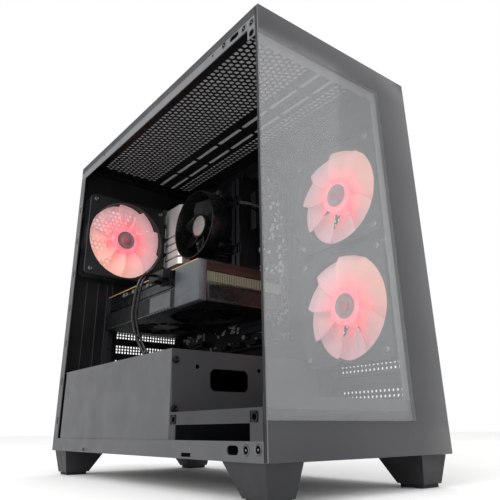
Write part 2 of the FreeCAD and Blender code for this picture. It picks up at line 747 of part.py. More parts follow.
def finned(u, v, foot, gap, thick):
    """Comb outline: a foot of the given height with fins up to v[1]."""
    points = [(u[0], v[0]), (u[1], v[0])]
    count = int((u[1] - u[0] - thick) / gap)
    start = u[1]
    for k in range(count):
        points += [(start - gap * k, v[1]), (start - gap * k - thick, v[1]),
                   (start - gap * k - thick, v[0] + foot), (start - gap * (k + 1), v[0] + foot)]
    points += [(start - gap * count, v[1]), (u[0], v[1])]
    return polygon(points)


def vrm_heatsink():
    """Machined block beside the ports, with shallow fins along its length."""
    y = (board_rear - 53.0, board_rear - 10.0)
    z = (board_top - 108.0, board_top - 12.0)
    outer = box((board_face - 42.0, board_face), y, z)
    grooves = [box((board_face - 42.0, board_face - 36.0), y, about(z[0] + 11.5 + 12.0 * k, 1.5))
               for k in range(4)]
    corner = [e for e in outer.Edges if abs(e.CenterOfMass.x - board_face + 42.0) < 1e-6
              and abs(e.CenterOfMass.y - y[0]) < 1e-6]
    shaped = outer.makeChamfer(5.0, corner)
    return shaped.cut(Part.makeCompound(grooves))


ram_z = (board_top - ram_top_drop - ram_length, board_top - ram_top_drop)


def ram_slots():
    slots = []
    for offset in ram_offsets:
        y = board_rear - offset
        body = box((board_face - ram_socket, board_face), about(y, 3.3), (ram_z[0] - 5.0, ram_z[1] + 1.0))
        groove = box((board_face - ram_socket, board_face - 2.0), about(y, 0.8),
                     (ram_z[0] - slip, ram_z[1] + 1.0))
        slots.append(body.cut(groove))
    return Part.makeCompound(slots)


def ram_modules():
    """Memory boards, each between two pressed heat spreaders with a stepped outer edge."""
    modules = []
    outer = board_face - 4.0 - ram_height
    for offset in ram_offsets:
        y = board_rear - offset
        card = box((outer + 1.0, board_face - 2.2), (y - 0.65, y + 0.65), ram_z)
        inner = board_face - ram_socket - 0.3
        cover = box((outer, inner), (y - 3.2, y + 3.2), (ram_z[0] + 0.5, ram_z[1] - 0.5))
        notch = [box((outer, outer + 3.0), (y - 3.2, y + 3.2), (ram_z[0] + a, ram_z[0] + b))
                 for a, b in ((26.0, 40.0), (93.0, 107.0))]
        modules.append(join([card, cover.cut(Part.makeCompound(notch))]))
    return Part.makeCompound(modules)


latch_gap = 0.4


def ram_latch(offset):
    """Latch at a slot's upper end: it tips up and out about a pivot near the board."""
    y = board_rear - offset
    z0 = ram_z[1] + 1.0 + latch_gap
    foot = box((board_face - 7.5, board_face - 0.5), (y - 3.2, y + 3.2), (z0, z0 + 6.0))
    arm = box((board_face - 24.0, board_face - 7.5), (y - 2.2, y + 2.2), (z0, z0 + 4.0))
    tip = box((board_face - 26.0, board_face - 22.0), (y - 3.2, y + 3.2), (z0, z0 + 6.5))
    return join([foot, arm, tip])


pcie_y = (wall_in - 140.0, wall_in - 50.0)


def pcie_slots():
    """The long slot that holds the graphics card and a short one two places below."""
    long_slot = box((board_face - 11.0, board_face), pcie_y, (gpu_plane - 3.8, gpu_plane + 3.8))
    groove = box((board_face - 11.0, board_face - 2.0), (pcie_y[0] + 2.0, pcie_y[1] - 2.0),
                 (gpu_plane - board_thick / 2 - slip, gpu_plane + board_thick / 2 + slip))
    low = gpu_plane - 3 * slot_pitch
    short = box((board_face - 11.0, board_face), (pcie_y[1] - 25.0, pcie_y[1]), (low - 3.8, low + 3.8))
    short_groove = box((board_face - 11.0, board_face - 2.0), (pcie_y[1] - 23.0, pcie_y[1] - 2.0),
                       (low - 0.9, low + 0.9))
    return Part.makeCompound([long_slot.cut(groove), short.cut(short_groove)])


def pcie_latch():
    """Small latch at the long slot's front end."""
    foot = box((board_face - 8.0, board_face - 0.5), (pcie_y[0] - 7.0, pcie_y[0] - latch_gap),
               (gpu_plane - 3.0, gpu_plane + 3.0))
    lip = box((board_face - 9.5, board_face - 8.0), (pcie_y[0] - 9.5, pcie_y[0] - latch_gap - 2.0),
              (gpu_plane - 2.2, gpu_plane + 2.2))
    return join([foot, lip])


def chipset_heatsink():
    y = (board_front + 42.0, board_front + 86.0)
    z = (board_low + 18.0, board_low + 60.0)
    block = box((board_face - 8.0, board_face), y, z)
    cuts = [box((board_face - 8.0, board_face - 4.0), (y[0], y[1]), (z[0] + 6.0 * k, z[0] + 6.0 * k + 2.5))
            for k in range(1, 7)]
    return block.cut(Part.makeCompound(cuts))


atx_y = (board_front + 30.0, board_front + 40.0)
atx_z = (board_top - 98.0, board_top - 46.0)


def atx_plug():
    """Power plug in its header, drawn as the header's skirt and the plug body with its latch."""
    skirt = box((board_face - 11.0, board_face), (atx_y[0] - 1.0, atx_y[1] + 1.0),
                (atx_z[0] - 1.0, atx_z[1] + 1.0))
    body = box((board_face - 24.0, board_face - 11.0), atx_y, atx_z)
    latch = box((board_face - 20.0, board_face - 8.0), (atx_y[1], atx_y[1] + 2.5),
                about((atx_z[0] + atx_z[1]) / 2, 5.0))
    return join([skirt, body, latch])


def board_connectors():
    """Headers and data sockets along the board's front and lower edges."""
    blocks = []
    for y, z, deep in ((8.0, (board_top - 35.0, board_top - 9.0), 10.0),
                       (8.0, (board_low + 46.0, board_low + 70.0), 10.0),
                       (6.0, (board_low + 120.0, board_low + 132.0), 8.0)):
        body = box((board_face - deep, board_face), (board_front + 9.0, board_front + 9.0 + y), z)
        mouth = box((board_face - deep, board_face - 3.0), (board_front + 10.5, board_front + 7.5 + y),
                    (z[0] + 2.0, z[1] - 2.0))
        blocks.append(body.cut(mouth))
    for k in range(4):
        y = board_front + 22.0 + 32.0 * k
        blocks.append(box((board_face - 8.5, board_face), (y, y + 20.0), (board_low + 3.0, board_low + 8.5)))
    return Part.makeCompound(blocks)


# ------------------------------------------------------------------------------ graphics card
gpu_fan_y = [wall_in - a for a in gpu_fan_rears]
gpu_underside = 2.0
gpu_fin_low = gpu_low + 15.0
gpu_fan_hub = 17.0


def gpu_board():
    """Circuit board with its edge connector tongue and the display port shells."""
    low = gpu_plane - board_thick / 2
    card = plate("z", low, board_thick, (gpu_left + 2.0, gpu_right + 1.0), (gpu_front + 4.0, gpu_rear))
    tongue = box((gpu_right + 1.0, board_face - 2.5), (pcie_y[0] + 2.5, pcie_y[1] - 2.5),
                 (low, low + board_thick))
    return join([card, tongue])


def gpu_heatsink():
    """Fin stack under the board, with the two motor seats and shafts below it."""
    span = (gpu_front + 3.0, gpu_rear - 2.0)
    high = gpu_plane - board_thick / 2
    deep = gpu_width - 14.0
    outline = finned(span, (-high, -gpu_fin_low), 3.0, gpu_fin_gap, gpu_fin_thick)
    fins = Part.Face(outline).extrude(V(0, 0, deep))
    # The comb is drawn on (y, -z); this turn lays it across the card from right to left.
    onto_card = FreeCAD.Matrix(0, 0, -1, gpu_right - 6.0, 1, 0, 0, 0, 0, -1, 0, 0, 0, 0, 0, 1)
    fins.transformShape(onto_card, True)
    pieces = [fins]
    for y in gpu_fan_y:
        pieces.append(Part.makeCylinder(14.0, 3.0, V(gpu_mid, y, gpu_fin_low - 2.0)))
        pieces.append(Part.makeCylinder(fan_shaft, 8.0, V(gpu_mid, y, gpu_fin_low - 9.0)))
    return join(pieces)


def gpu_shroud():
    """Plastic cover with two fan openings, open ends for the fins and a solid front corner."""
    x = (gpu_left, gpu_right)
    y = (gpu_front, gpu_rear)
    band = (gpu_low, gpu_low + gpu_shroud_band)
    openings = [circle(gpu_mid, fan, gpu_fan_size / 2) for fan in gpu_fan_y]
    face = plate("z", gpu_low, gpu_underside, x, y, openings)
    walls = [box((x[0], x[0] + gpu_wall), y, band), box((x[1] - gpu_wall, x[1]), y, band),
             box(x, (y[0], y[0] + gpu_wall), (band[0], gpu_fin_low - 1.0))]
    for fan in gpu_fan_y:
        outer = Part.makeCylinder(gpu_fan_size / 2 + 1.5, 12.0, V(gpu_mid, fan, gpu_low))
        walls.append(outer.cut(Part.makeCylinder(gpu_fan_size / 2, 12.0, V(gpu_mid, fan, gpu_low))))
    body = join([face] + walls)
    block = box((x[0], x[0] + gpu_block_width - 6.5), (y[0], y[0] + gpu_block_length),
                (gpu_low, gpu_plane - board_thick / 2))
    edges = [e for e in block.Edges if abs(e.CenterOfMass.x - x[0]) < 1e-6
             and abs(e.CenterOfMass.z - block.BoundBox.Center.z) > 1.0]
    block = block.makeChamfer(2.5, edges)
    return join([body, block])


def gpu_bracket():
    """Steel bracket over two slots, its folded tab at the retainer, with the port shells."""
    z = (slot_z[1] - cover_width / 2, slot_z[0] + cover_width / 2)
    x = (slot_x[0] - 6.0, slot_x[1] + 5.0)
    sheet_part = plate("y", wall_in - sheet, sheet, x, z)
    shells = []
    for k in range(3):
        x0 = slot_x[0] + 6.0 + 30.0 * k
        shells.append(box((x0, x0 + 17.0), (gpu_rear + sheet, wall_in - sheet),
                          (slot_z[0] - 3.0, gpu_plane - board_thick / 2)))
    return join([sheet_part] + shells)


def gpu_fan(y):
    body = rotor(gpu_fan_hub, gpu_fan_size / 2 - fan_tip_gap, 10.0, 11, fan_shaft, 22.0)
    return place(body, (gpu_mid, y, gpu_low + 2.5), "z")


plug_y = (wall_in - 198.0, wall_in - 164.0)
plug_z = (gpu_plane - 12.5, gpu_plane - 2.5)


def gpu_power_plug():
    """Two plug bodies side by side in the card's socket, with a latch on each."""
    outer = tray_face + gpu_cable_upper[0][0]
    bodies = [box((outer, gpu_left + 2.0), plug_y, plug_z)]
    bodies.append(box((gpu_left + 2.0, gpu_left + 7.0), (plug_y[0] - 1.0, plug_y[1] + 1.0),
                      (plug_z[0] - 1.0, gpu_plane - board_thick / 2)))
    for y in (plug_y[0] + 6.0, plug_y[0] + 23.0):
        bodies.append(box((outer + 2.0, outer + 12.0), (y, y + 5.0), (plug_z[0] - 1.5, plug_z[0])))
    return join(bodies)


# ------------------------------------------------------------------------------ cables
def cable(upper, lower, diameter):
    """Tube along straight runs joined by tangent arcs, each as large as its two runs allow."""
    points = [V(tray_face + x, wall_in + y, top + z) for x, y, z in upper]
    points += [V(tray_face + x, wall_in + y, base + z) for x, y, z in lower]
    edges = []
    start = points[0]
    radii = []
    for before, corner, after in zip(points, points[1:], points[2:]):
        to_before = (before - corner).normalize()
        to_after = (after - corner).normalize()
        half_turn = (math.pi - to_before.getAngle(to_after)) / 2
        reach = 0.45 * min((before - corner).Length, (after - corner).Length)
        radius = reach / math.tan(half_turn)
        radii.append(radius)
        arc_from = corner + to_before * reach
        arc_to = corner + to_after * reach
        centre = corner + (to_before + to_after).normalize() * (radius / math.cos(half_turn))
        middle = centre + (corner - centre).normalize() * radius
        edges.append(Part.LineSegment(start, arc_from).toShape())
        edges.append(Part.Arc(arc_from, middle, arc_to).toShape())
        start = arc_to
    edges.append(Part.LineSegment(start, points[-1]).toShape())
    path = Part.Wire(edges)
    section = Part.Wire(Part.makeCircle(diameter / 2, points[0], points[1] - points[0]))
    tube = path.makePipeShell([section], True, True)
    ideal = math.pi * diameter * diameter / 4 * path.Length
    print("cable radii", [round(r, 1) for r in radii], "volume ratio", round(tube.Volume / ideal, 4),
          "length", round(path.Length, 1))
    return tube


# ------------------------------------------------------------------------------ power supply
inlet_x = (psu_left + 18.0, psu_left + 18.0 + inlet_size[0])
inlet_z = (psu_top - 34.0, psu_top - 34.0 + inlet_size[1])
switch_x = (inlet_x[1], inlet_x[1] + switch_width)
switch_z = inlet_z
psu_wall = 1.2
psu_fan_y = psu_front + 66.0
psu_middle = (psu_left + psu_right) / 2


def psu_case():
    """Folded steel box with a round fan opening below and vents, inlet and switch behind."""
    x = (psu_left, psu_right)
    y = (psu_front, wall_in)
    z = (psu_low, psu_top)
    low = plate("z", z[0], psu_wall, x, y, [circle(psu_middle, psu_fan_y, psu_fan_bore / 2)])
    high = plate("z", z[1] - psu_wall, psu_wall, x, y)
    mid_z = (z[0] + psu_wall, z[1] - psu_wall)
    sides = [plate("x", level, psu_wall, y, mid_z) for level in (x[0], x[1] - psu_wall)]
    inner_x = (x[0] + psu_wall, x[1] - psu_wall)
    holes = [rect((inlet_x[0] - slip, switch_x[1] + slip), (inlet_z[0] - slip, inlet_z[1] + slip))]
    holes += grid((switch_x[1] + 8.0, x[1] - 8.0), (z[0] + 8.0, z[1] - 8.0), 6.5, 2.6)
    back = plate("y", y[1] - psu_wall, psu_wall, inner_x, mid_z, holes)
    face = plate("y", y[0], psu_wall, inner_x, mid_z)
    pads = [box((psu_middle + a, psu_middle + a + 14.0), (y[0] + b, y[0] + b + 10.0), (floor_top, z[0]))
            for a in (-72.0, 58.0) for b in (4.0, psu_length - 14.0)]
    return join([low, high, back, face] + sides + pads)


def psu_grille():
    """Fan guard of rings and cross bars inside the opening, with the motor seat and shaft."""
    z0 = psu_low
    centre = V(psu_middle, psu_fan_y, z0)
    outer = psu_fan_bore / 2 - slip
    pieces = []
    for radius in (outer, 46.0, 34.0, 22.0):
        ring = Part.makeCylinder(radius, 1.6, centre).cut(Part.makeCylinder(radius - 1.8, 1.6, centre))
        pieces.append(ring)
    for angle in (0, 45, 90, 135):
        bar = Part.makeBox(2 * outer - 1.0, 1.8, 1.6, V(psu_middle - outer + 0.5, psu_fan_y - 0.9, z0))
        bar.rotate(centre, V(0, 0, 1), angle)
        pieces.append(bar)
    pieces.append(Part.makeCylinder(16.0, 3.0, centre))
    pieces.append(Part.makeCylinder(fan_shaft, 16.0, centre))
    return join(pieces)


def psu_fan_rotor():
    body = rotor(18.0, psu_fan_bore / 2 - 3.0, 14.0, 7, fan_shaft, 44.0)
    body = body.mirror(V(0, 0, 7.0), V(0, 0, 1))
    return place(body, (psu_middle, psu_fan_y, psu_low + 4.0), "z")


def psu_inlet():
    """Mains inlet moulded with the switch frame beside it: three pins, and the rocker's pin."""
    y = (wall_in - 18.0, wall_out)
    block = box(inlet_x, y, inlet_z)
    mouth = box((inlet_x[0] + 2.5, inlet_x[1] - 2.5), (y[1] - 15.0, y[1]),
                (inlet_z[0] + 2.0, inlet_z[1] - 2.0))
    middle = (inlet_x[0] + inlet_x[1]) / 2
    pins = [box((middle + a - 1.0, middle + a + 1.0), (y[1] - 15.0, y[1] - 3.0),
                (inlet_z[0] + b, inlet_z[0] + b + 4.0)) for a, b in ((-7.0, 5.0), (7.0, 5.0), (0.0, 9.0))]
    hollow = box((switch_x[0] + 2.0, switch_x[1] - 2.0), (y[0] + 2.0, y[1]),
                 (switch_z[0] + 2.0, switch_z[1] - 2.0))
    frame = box(switch_x, y, switch_z).cut(hollow)
    pin_end = V(switch_x[0] + 2.0, switch_pivot[1], switch_pivot[2])
    pin = Part.makeCylinder(switch_pin, switch_width - 4.0, pin_end, V(1, 0, 0))
    return join([block.cut(mouth), frame, pin] + pins)


switch_pivot = ((switch_x[0] + switch_x[1]) / 2, wall_out - 3.0, (switch_z[0] + switch_z[1]) / 2)
rocker_half = 7.0
rocker_face = 1.8
switch_pin = 1.2


def psu_switch():
    """Rocker on a pin across its housing; the rocker is drawn flat, half-way through its travel."""
    half = switch_width / 2 - 2.4
    middle, axle, height = switch_pivot
    far = 20.0
    body = Part.makeCylinder(rocker_half, 2 * half, V(middle - half, axle, height), V(1, 0, 0))
    bore = Part.makeCylinder(switch_pin + running, 2 * far, V(middle - far, axle, height), V(1, 0, 0))
    for y in ((axle + rocker_face, axle + far), (axle - far, axle - 4.0)):
        body = body.cut(box(about(middle, far), y, about(height, far)))
    return body.cut(bore)


# ------------------------------------------------------------------------------ controls on the top
button_x = (io_strip_x[0] + io_strip_x[1]) / 2
power_y = io_strip_y[0] + 13.0
reset_y = power_y + button_step
stem_gap = 0.2


def front_io_panel():
    """Block under the top cover with the button bores, two data ports and a sound jack."""
    y = (io_strip_y[0] + slip, io_strip_y[1] - slip)
    body = box((io_strip_x[0] + slip, io_strip_x[1] - slip), y, (io_low, cover_top))
    cuts = [Part.makeCylinder(button_radius + stem_gap, 20.0, V(button_x, power_y, io_low + 1.5)),
            Part.makeCylinder(reset_radius + stem_gap, 20.0, V(button_x, reset_y, io_low + 1.5)),
            Part.makeCylinder(1.75, 9.0, V(button_x, y[1] - 8.0, cover_top - 9.0))]
    for k in range(2):
        low = reset_y + 12.0 + 22.0 * k
        port = box(about(button_x, 3.0), (low, low + 14.0), (cover_top - 8.0, cover_top))
        tongue = box((button_x - 2.6, button_x - 0.6), (low + 1.0, low + 13.0),
                     (cover_top - 8.0, cover_top - 1.5))
        cuts.append(port.cut(tongue))
    return body.cut(Part.makeCompound(cuts))


def button(y, radius):
    """Round push button with a soft edge, its floor clear of the bore's floor."""
    low = io_low + 1.5 + button_travel_room
    stem = Part.makeCylinder(radius, top - low, V(button_x, y, low))
    edge = [e for e in stem.Edges if abs(e.CenterOfMass.z - top) < 1e-6]
    return stem.makeFillet(0.5, edge)


# ------------------------------------------------------------------------------ the parts
parts = {}
parts["base_pan"] = base_pan()
parts["rear_panel"] = rear_panel()
parts["io_shield"] = io_shield()
parts["io_ports"] = io_ports()
parts["motherboard_tray"] = motherboard_tray()
parts["fan_bracket"] = fan_bracket()
parts["top_frame"] = top_frame()
parts["top_panel"] = top_panel()
parts["top_dust_filter"] = dust_filter((left + 18.0, left + 176.0), (-193.0, 193.0), cover_top, filter_thick)
parts["front_frame"] = front_frame()
parts["front_glass"] = front_glass()
parts["psu_shroud"] = psu_shroud()
parts["front_platform"] = front_platform()
parts["panel_sockets"] = panel_sockets()
left_feet, left_pads = foot_pair(-1)
right_feet, right_pads = foot_pair(1)
parts["feet"] = Part.makeCompound(left_feet + right_feet)
parts["foot_pads"] = Part.makeCompound(left_pads + right_pads)
parts["right_side_panel"] = right_side_panel()
parts["panel_thumbscrews"] = panel_thumbscrews()
parts["bottom_dust_filter"] = dust_filter(bottom_filter_x, bottom_filter_y, filter_low, 2.0)
parts["slot_covers"] = slot_covers()
parts["slot_retainer"] = slot_retainer()

fan_parts = (("rear_fan", (rear_fan_x, wall_in - fan_depth, rear_fan_z), "y"),
             ("upper_fan", (fan_start, side_fan_y, side_fan_z[0]), "x"),
             ("lower_fan", (fan_start, side_fan_y, side_fan_z[1]), "x"))
frame_shape = fan_frame()
rotor_shape = fan_rotor()
for name, centre, normal in fan_parts:
    parts[name + "_frame"] = place(frame_shape, centre, normal)
    parts[name + "_rotor"] = place(rotor_shape, centre, normal)

parts["motherboard"] = motherboard()
parts["board_standoffs"] = board_standoffs()
parts["cpu_socket"] = cpu_socket()
parts["cpu_heatsink"] = cpu_heatsink()
parts["cpu_fan_shroud"] = cpu_fan_shroud()
parts["cpu_fan_rotor"] = cpu_fan_rotor()
parts["vrm_heatsink"] = vrm_heatsink()
parts["ram_slots"] = ram_slots()
parts["ram_modules"] = ram_modules()
parts["ram_latch_rear"] = ram_latch(ram_offsets[0])
parts["ram_latch_front"] = ram_latch(ram_offsets[1])
parts["pcie_slots"] = pcie_slots()
parts["pcie_latch"] = pcie_latch()
parts["chipset_heatsink"] = chipset_heatsink()
parts["atx_plug"] = atx_plug()
parts["atx_power_cable"] = cable(atx_cable_upper, atx_cable_lower, atx_cable_diameter)
parts["board_connectors"] = board_connectors()
parts["gpu_board"] = gpu_board()
parts["gpu_heatsink"] = gpu_heatsink()
parts["gpu_shroud"] = gpu_shroud()
parts["gpu_bracket"] = gpu_bracket()
parts["gpu_fan_rear"] = gpu_fan(gpu_fan_y[0])
parts["gpu_fan_front"] = gpu_fan(gpu_fan_y[1])
parts["gpu_power_plug"] = gpu_power_plug()
parts["gpu_power_cable"] = cable(gpu_cable_upper, gpu_cable_lower, gpu_cable_diameter)
parts["psu_case"] = psu_case()
parts["psu_grille"] = psu_grille()
parts["psu_fan_rotor"] = psu_fan_rotor()
parts["psu_inlet"] = psu_inlet()
parts["psu_switch"] = psu_switch()
parts["front_io_panel"] = front_io_panel()
parts["power_button"] = button(power_y, button_radius)
parts["reset_button"] = button(reset_y, reset_radius)

os.makedirs("parts", exist_ok=True)
for name, shape in parts.items():
    shape.exportStep("parts/" + name + ".step")
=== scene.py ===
import bpy
import json
import math
import random
from mathutils import Matrix, Vector

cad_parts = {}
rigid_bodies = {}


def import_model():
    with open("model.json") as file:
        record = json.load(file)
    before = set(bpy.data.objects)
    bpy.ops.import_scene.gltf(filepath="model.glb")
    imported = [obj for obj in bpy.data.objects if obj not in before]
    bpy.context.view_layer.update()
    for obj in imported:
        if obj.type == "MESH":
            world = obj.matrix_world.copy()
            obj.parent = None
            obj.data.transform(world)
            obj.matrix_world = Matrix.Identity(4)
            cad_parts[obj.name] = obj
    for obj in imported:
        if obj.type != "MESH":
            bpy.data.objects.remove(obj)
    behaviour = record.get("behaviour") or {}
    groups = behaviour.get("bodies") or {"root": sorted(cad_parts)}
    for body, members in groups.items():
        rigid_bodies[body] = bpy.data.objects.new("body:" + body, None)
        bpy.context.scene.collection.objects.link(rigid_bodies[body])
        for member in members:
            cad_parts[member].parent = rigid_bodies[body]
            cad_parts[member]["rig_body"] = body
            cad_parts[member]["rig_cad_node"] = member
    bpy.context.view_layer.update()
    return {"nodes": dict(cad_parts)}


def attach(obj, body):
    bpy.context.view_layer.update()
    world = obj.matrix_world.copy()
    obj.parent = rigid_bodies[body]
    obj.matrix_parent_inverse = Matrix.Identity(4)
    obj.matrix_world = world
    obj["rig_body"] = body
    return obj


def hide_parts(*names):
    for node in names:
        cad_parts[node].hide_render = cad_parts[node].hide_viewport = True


for leftover in list(bpy.data.objects):
    bpy.data.objects.remove(leftover)
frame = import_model()
MM = 0.001
nodes = frame["nodes"]


# ------------------------------------------------------------------ small helpers for materials
def srgb(code):
    """Turns an sRGB hex colour such as "2b2c2e" to linear RGBA."""
    linear = []
    for k in (0, 2, 4):
        value = int(code[k:k + 2], 16) / 255
        linear.append(value / 12.92 if value <= 0.04045 else ((value + 0.055) / 1.055) ** 2.4)
    return (*linear, 1.0)


def add(tree, kind, settings=None, links=None):
    """Adds one node: lower-case settings are its properties, the others its sockets."""
    node = tree.nodes.new("ShaderNode" + kind)
    for name, value in (settings or {}).items():
        if isinstance(name, str) and name.islower():
            setattr(node, name, value)
        else:
            node.inputs[name].default_value = value
    for name, source in (links or {}).items():
        tree.links.new(source, node.inputs[name])
    return node


def new_material(name, **sockets):
    """A material with one Principled shader, its fixed values set on the shader's sockets."""
    material = bpy.data.materials.new(name)
    material.use_nodes = True
    tree = material.node_tree
    shader = tree.nodes["Principled BSDF"]
    for socket, value in sockets.items():
        shader.inputs[socket.replace("_", " ")].default_value = value
    return material, tree, shader


def per_mm(size):
    """Noise scale whose features are about the given size in millimetres."""
    return 1.0 / (size * MM)


def spread(tree, shader, coords, low, high, size, detail=3.0):
    """Varies roughness between two values in blotches of the given size in millimetres."""
    noise = add(tree, "TexNoise", {"Scale": per_mm(size), "Detail": detail}, {"Vector": coords})
    ramp = add(tree, "MapRange", {"From Min": 0.35, "From Max": 0.65, "To Min": low, "To Max": high},
               {"Value": noise.outputs["Fac"]})
    tree.links.new(ramp.outputs["Result"], shader.inputs["Roughness"])


def grain(tree, shader, coords, size, height, detail=2.0):
    """Bump of a moulded or sprayed surface: grains of one size, standing a height, both in mm."""
    noise = add(tree, "TexNoise", {"Scale": per_mm(size), "Detail": detail}, {"Vector": coords})
    bump = add(tree, "Bump", {"Strength": 0.6, "Distance": height * MM}, {"Height": noise.outputs["Fac"]})
    tree.links.new(bump.outputs["Normal"], shader.inputs["Normal"])
    return noise


def tint(tree, shader, coords, dark, light, size, detail=4.0, stretch=(1, 1, 1)):
    """Colour that drifts between two tones in patches of the given size in millimetres."""
    mapping = add(tree, "Mapping", {"Scale": stretch}, {"Vector": coords})
    noise = add(tree, "TexNoise", {"Scale": per_mm(size), "Detail": detail},
                {"Vector": mapping.outputs["Vector"]})
    ramp = add(tree, "ValToRGB", {}, {"Fac": noise.outputs["Fac"]})
    ramp.color_ramp.elements[0].position = 0.35
    ramp.color_ramp.elements[0].color = srgb(dark)
    ramp.color_ramp.elements[1].position = 0.65
    ramp.color_ramp.elements[1].color = srgb(light)
    tree.links.new(ramp.outputs["Color"], shader.inputs["Base Color"])
    return ramp


def object_coords(tree):
    """Coordinates that stay with a piece as its body moves."""
    return add(tree, "TexCoord").outputs["Object"]


def powder_coat(name, dark, light, rough, shine=0.5):
    """Sheet steel with baked polyester powder: a fine orange peel with a dull even sheen."""
    material, tree, shader = new_material(name, IOR=1.5, Specular_IOR_Level=shine)
    coords = object_coords(tree)
    tint(tree, shader, coords, dark, light, 60.0)
    spread(tree, shader, coords, rough - 0.05, rough + 0.07, 25.0)
    grain(tree, shader, coords, 0.9, 0.05)      # the real peel is 0.3 mm; drawn coarser to show
    return material


def moulded(name, dark, light, rough, size=0.7, height=0.04, **sockets):
    """Injection-moulded plastic with the spark-eroded texture of its mould."""
    material, tree, shader = new_material(name, IOR=1.53, **sockets)
    coords = object_coords(tree)
    tint(tree, shader, coords, dark, light, 18.0)
    spread(tree, shader, coords, rough - 0.06, rough + 0.08, 9.0)
    grain(tree, shader, coords, size, height)
    return material


def brushed(name, dark, light, rough, along, metallic=1.0):
    """Metal brushed along one axis: fine lines that streak the highlights."""
    material, tree, shader = new_material(name, Metallic=metallic)
    coords = object_coords(tree)
    stretch = tuple(0.02 if axis == along else 1.0 for axis in "xyz")
    tint(tree, shader, coords, dark, light, 0.8, 2.0, stretch)
    mapping = add(tree, "Mapping", {"Scale": stretch}, {"Vector": coords})
    lines = add(tree, "TexNoise", {"Scale": per_mm(0.5), "Detail": 2.0},
                {"Vector": mapping.outputs["Vector"]})
    ramp = add(tree, "MapRange", {"To Min": rough - 0.1, "To Max": rough + 0.14},
               {"Value": lines.outputs["Fac"]})
    tree.links.new(ramp.outputs["Result"], shader.inputs["Roughness"])
    bump = add(tree, "Bump", {"Strength": 0.3, "Distance": 0.02 * MM}, {"Height": lines.outputs["Fac"]})
    tree.links.new(bump.outputs["Normal"], shader.inputs["Normal"])
    return material


def tinted_glass():
    """Tempered float glass, grey-tinted and a little hazy, as a thin see-through sheet."""
    material, tree, shader = new_material("tempered_glass", IOR=1.52, Alpha=0.25)
    coords = object_coords(tree)
    tint(tree, shader, coords, "a3a5a7", "adafb1", 140.0)
    spread(tree, shader, coords, 0.04, 0.12, 30.0)
    return material


def enamel_border():
    """Black ceramic enamel fired under the edge of the glass: smooth, deep and glossy."""
    material, tree, shader = new_material("fired_enamel", IOR=1.52)
    coords = object_coords(tree)
    tint(tree, shader, coords, "26272a", "2c2d30", 90.0)
    spread(tree, shader, coords, 0.18, 0.26, 40.0)
    return material


def woven_screen():
    """Woven nylon screen, seen as a fine grid; its 0.4 mm mesh is drawn at 1 mm to show."""
    material, tree, shader = new_material("nylon_screen", IOR=1.53, Roughness=0.7)
    coords = object_coords(tree)
    waves = []
    for direction in ("X", "Y"):
        wave = add(tree, "TexWave", {"wave_type": "BANDS", "bands_direction": direction,
                                     "Scale": per_mm(1.0) * 0.05 * math.pi, "Distortion": 0.0},
                   {"Vector": coords})
        waves.append(wave.outputs["Fac"])
    peak = add(tree, "Math", {"operation": "MAXIMUM"}, {0: waves[0], 1: waves[1]})
    alpha = add(tree, "MapRange", {"From Min": 0.55, "From Max": 0.75, "To Min": 0.35, "To Max": 0.95},
                {"Value": peak.outputs["Value"]})
    tree.links.new(alpha.outputs["Result"], shader.inputs["Alpha"])
    tint(tree, shader, coords, "6e7072", "7c7e80", 30.0)
    return material


# Distances in mm from a rotor's axis between which the glow fades, and that of the warmest tone.
GLOW_START = 14
GLOW_END = 58
WARM_REACH = 55


def lit_blade(name, centre, axis, warm):
    """Frosted polycarbonate lit from the hub: red at the root, paler and pinker to the tip.

    The centre is in millimetres, and warm points to the side that is lit towards orange.
    """
    material, tree, shader = new_material(name, IOR=1.58, Roughness=0.45, Alpha=0.52)
    coords = object_coords(tree)
    mapping = add(tree, "Mapping", {"Location": tuple(-c * MM for c in centre)}, {"Vector": coords})
    flat = tuple(0.0 if a == axis else 1.0 for a in "xyz")
    plane = add(tree, "VectorMath", {"operation": "MULTIPLY", 1: flat}, {0: mapping.outputs["Vector"]})
    reach = add(tree, "VectorMath", {"operation": "LENGTH"}, {0: plane.outputs["Vector"]})
    scale = add(tree, "MapRange", {"From Min": GLOW_START * MM, "From Max": GLOW_END * MM},
                {"Value": reach.outputs["Value"]})
    ramp = add(tree, "ValToRGB", {}, {"Fac": scale.outputs["Result"]})
    stops = ((0.0, "ff7f8e"), (0.25, "f28a92"), (0.55, "d39da0"), (1.0, "c6a6aa"))
    for k, (place, code) in enumerate(stops):
        element = ramp.color_ramp.elements[k] if k < 2 else ramp.color_ramp.elements.new(place)
        element.position = place
        element.color = srgb(code)
    side = add(tree, "VectorMath", {"operation": "DOT_PRODUCT", 1: warm}, {0: mapping.outputs["Vector"]})
    amount = add(tree, "MapRange", {"From Min": 0.0, "From Max": WARM_REACH * MM, "To Max": 0.75},
                 {"Value": side.outputs["Value"]})
    mix = add(tree, "MixRGB", {"Color2": srgb("dfa890")}, {"Fac": amount.outputs["Result"],
                                                           "Color1": ramp.outputs["Color"]})
    tree.links.new(mix.outputs["Color"], shader.inputs["Base Color"])
    tree.links.new(mix.outputs["Color"], shader.inputs["Emission Color"])
    shader.inputs["Emission Strength"].default_value = 0.6
    return material


def lamp_plastic(name, dark, light, power):
    """Diffusing polycarbonate round the lamps: glows evenly with a soft skin."""
    material, tree, shader = new_material(name, IOR=1.58, Roughness=0.4, Emission_Strength=power)
    ramp = tint(tree, shader, object_coords(tree), dark, light, 12.0)
    tree.links.new(ramp.outputs["Color"], shader.inputs["Emission Color"])
    return material


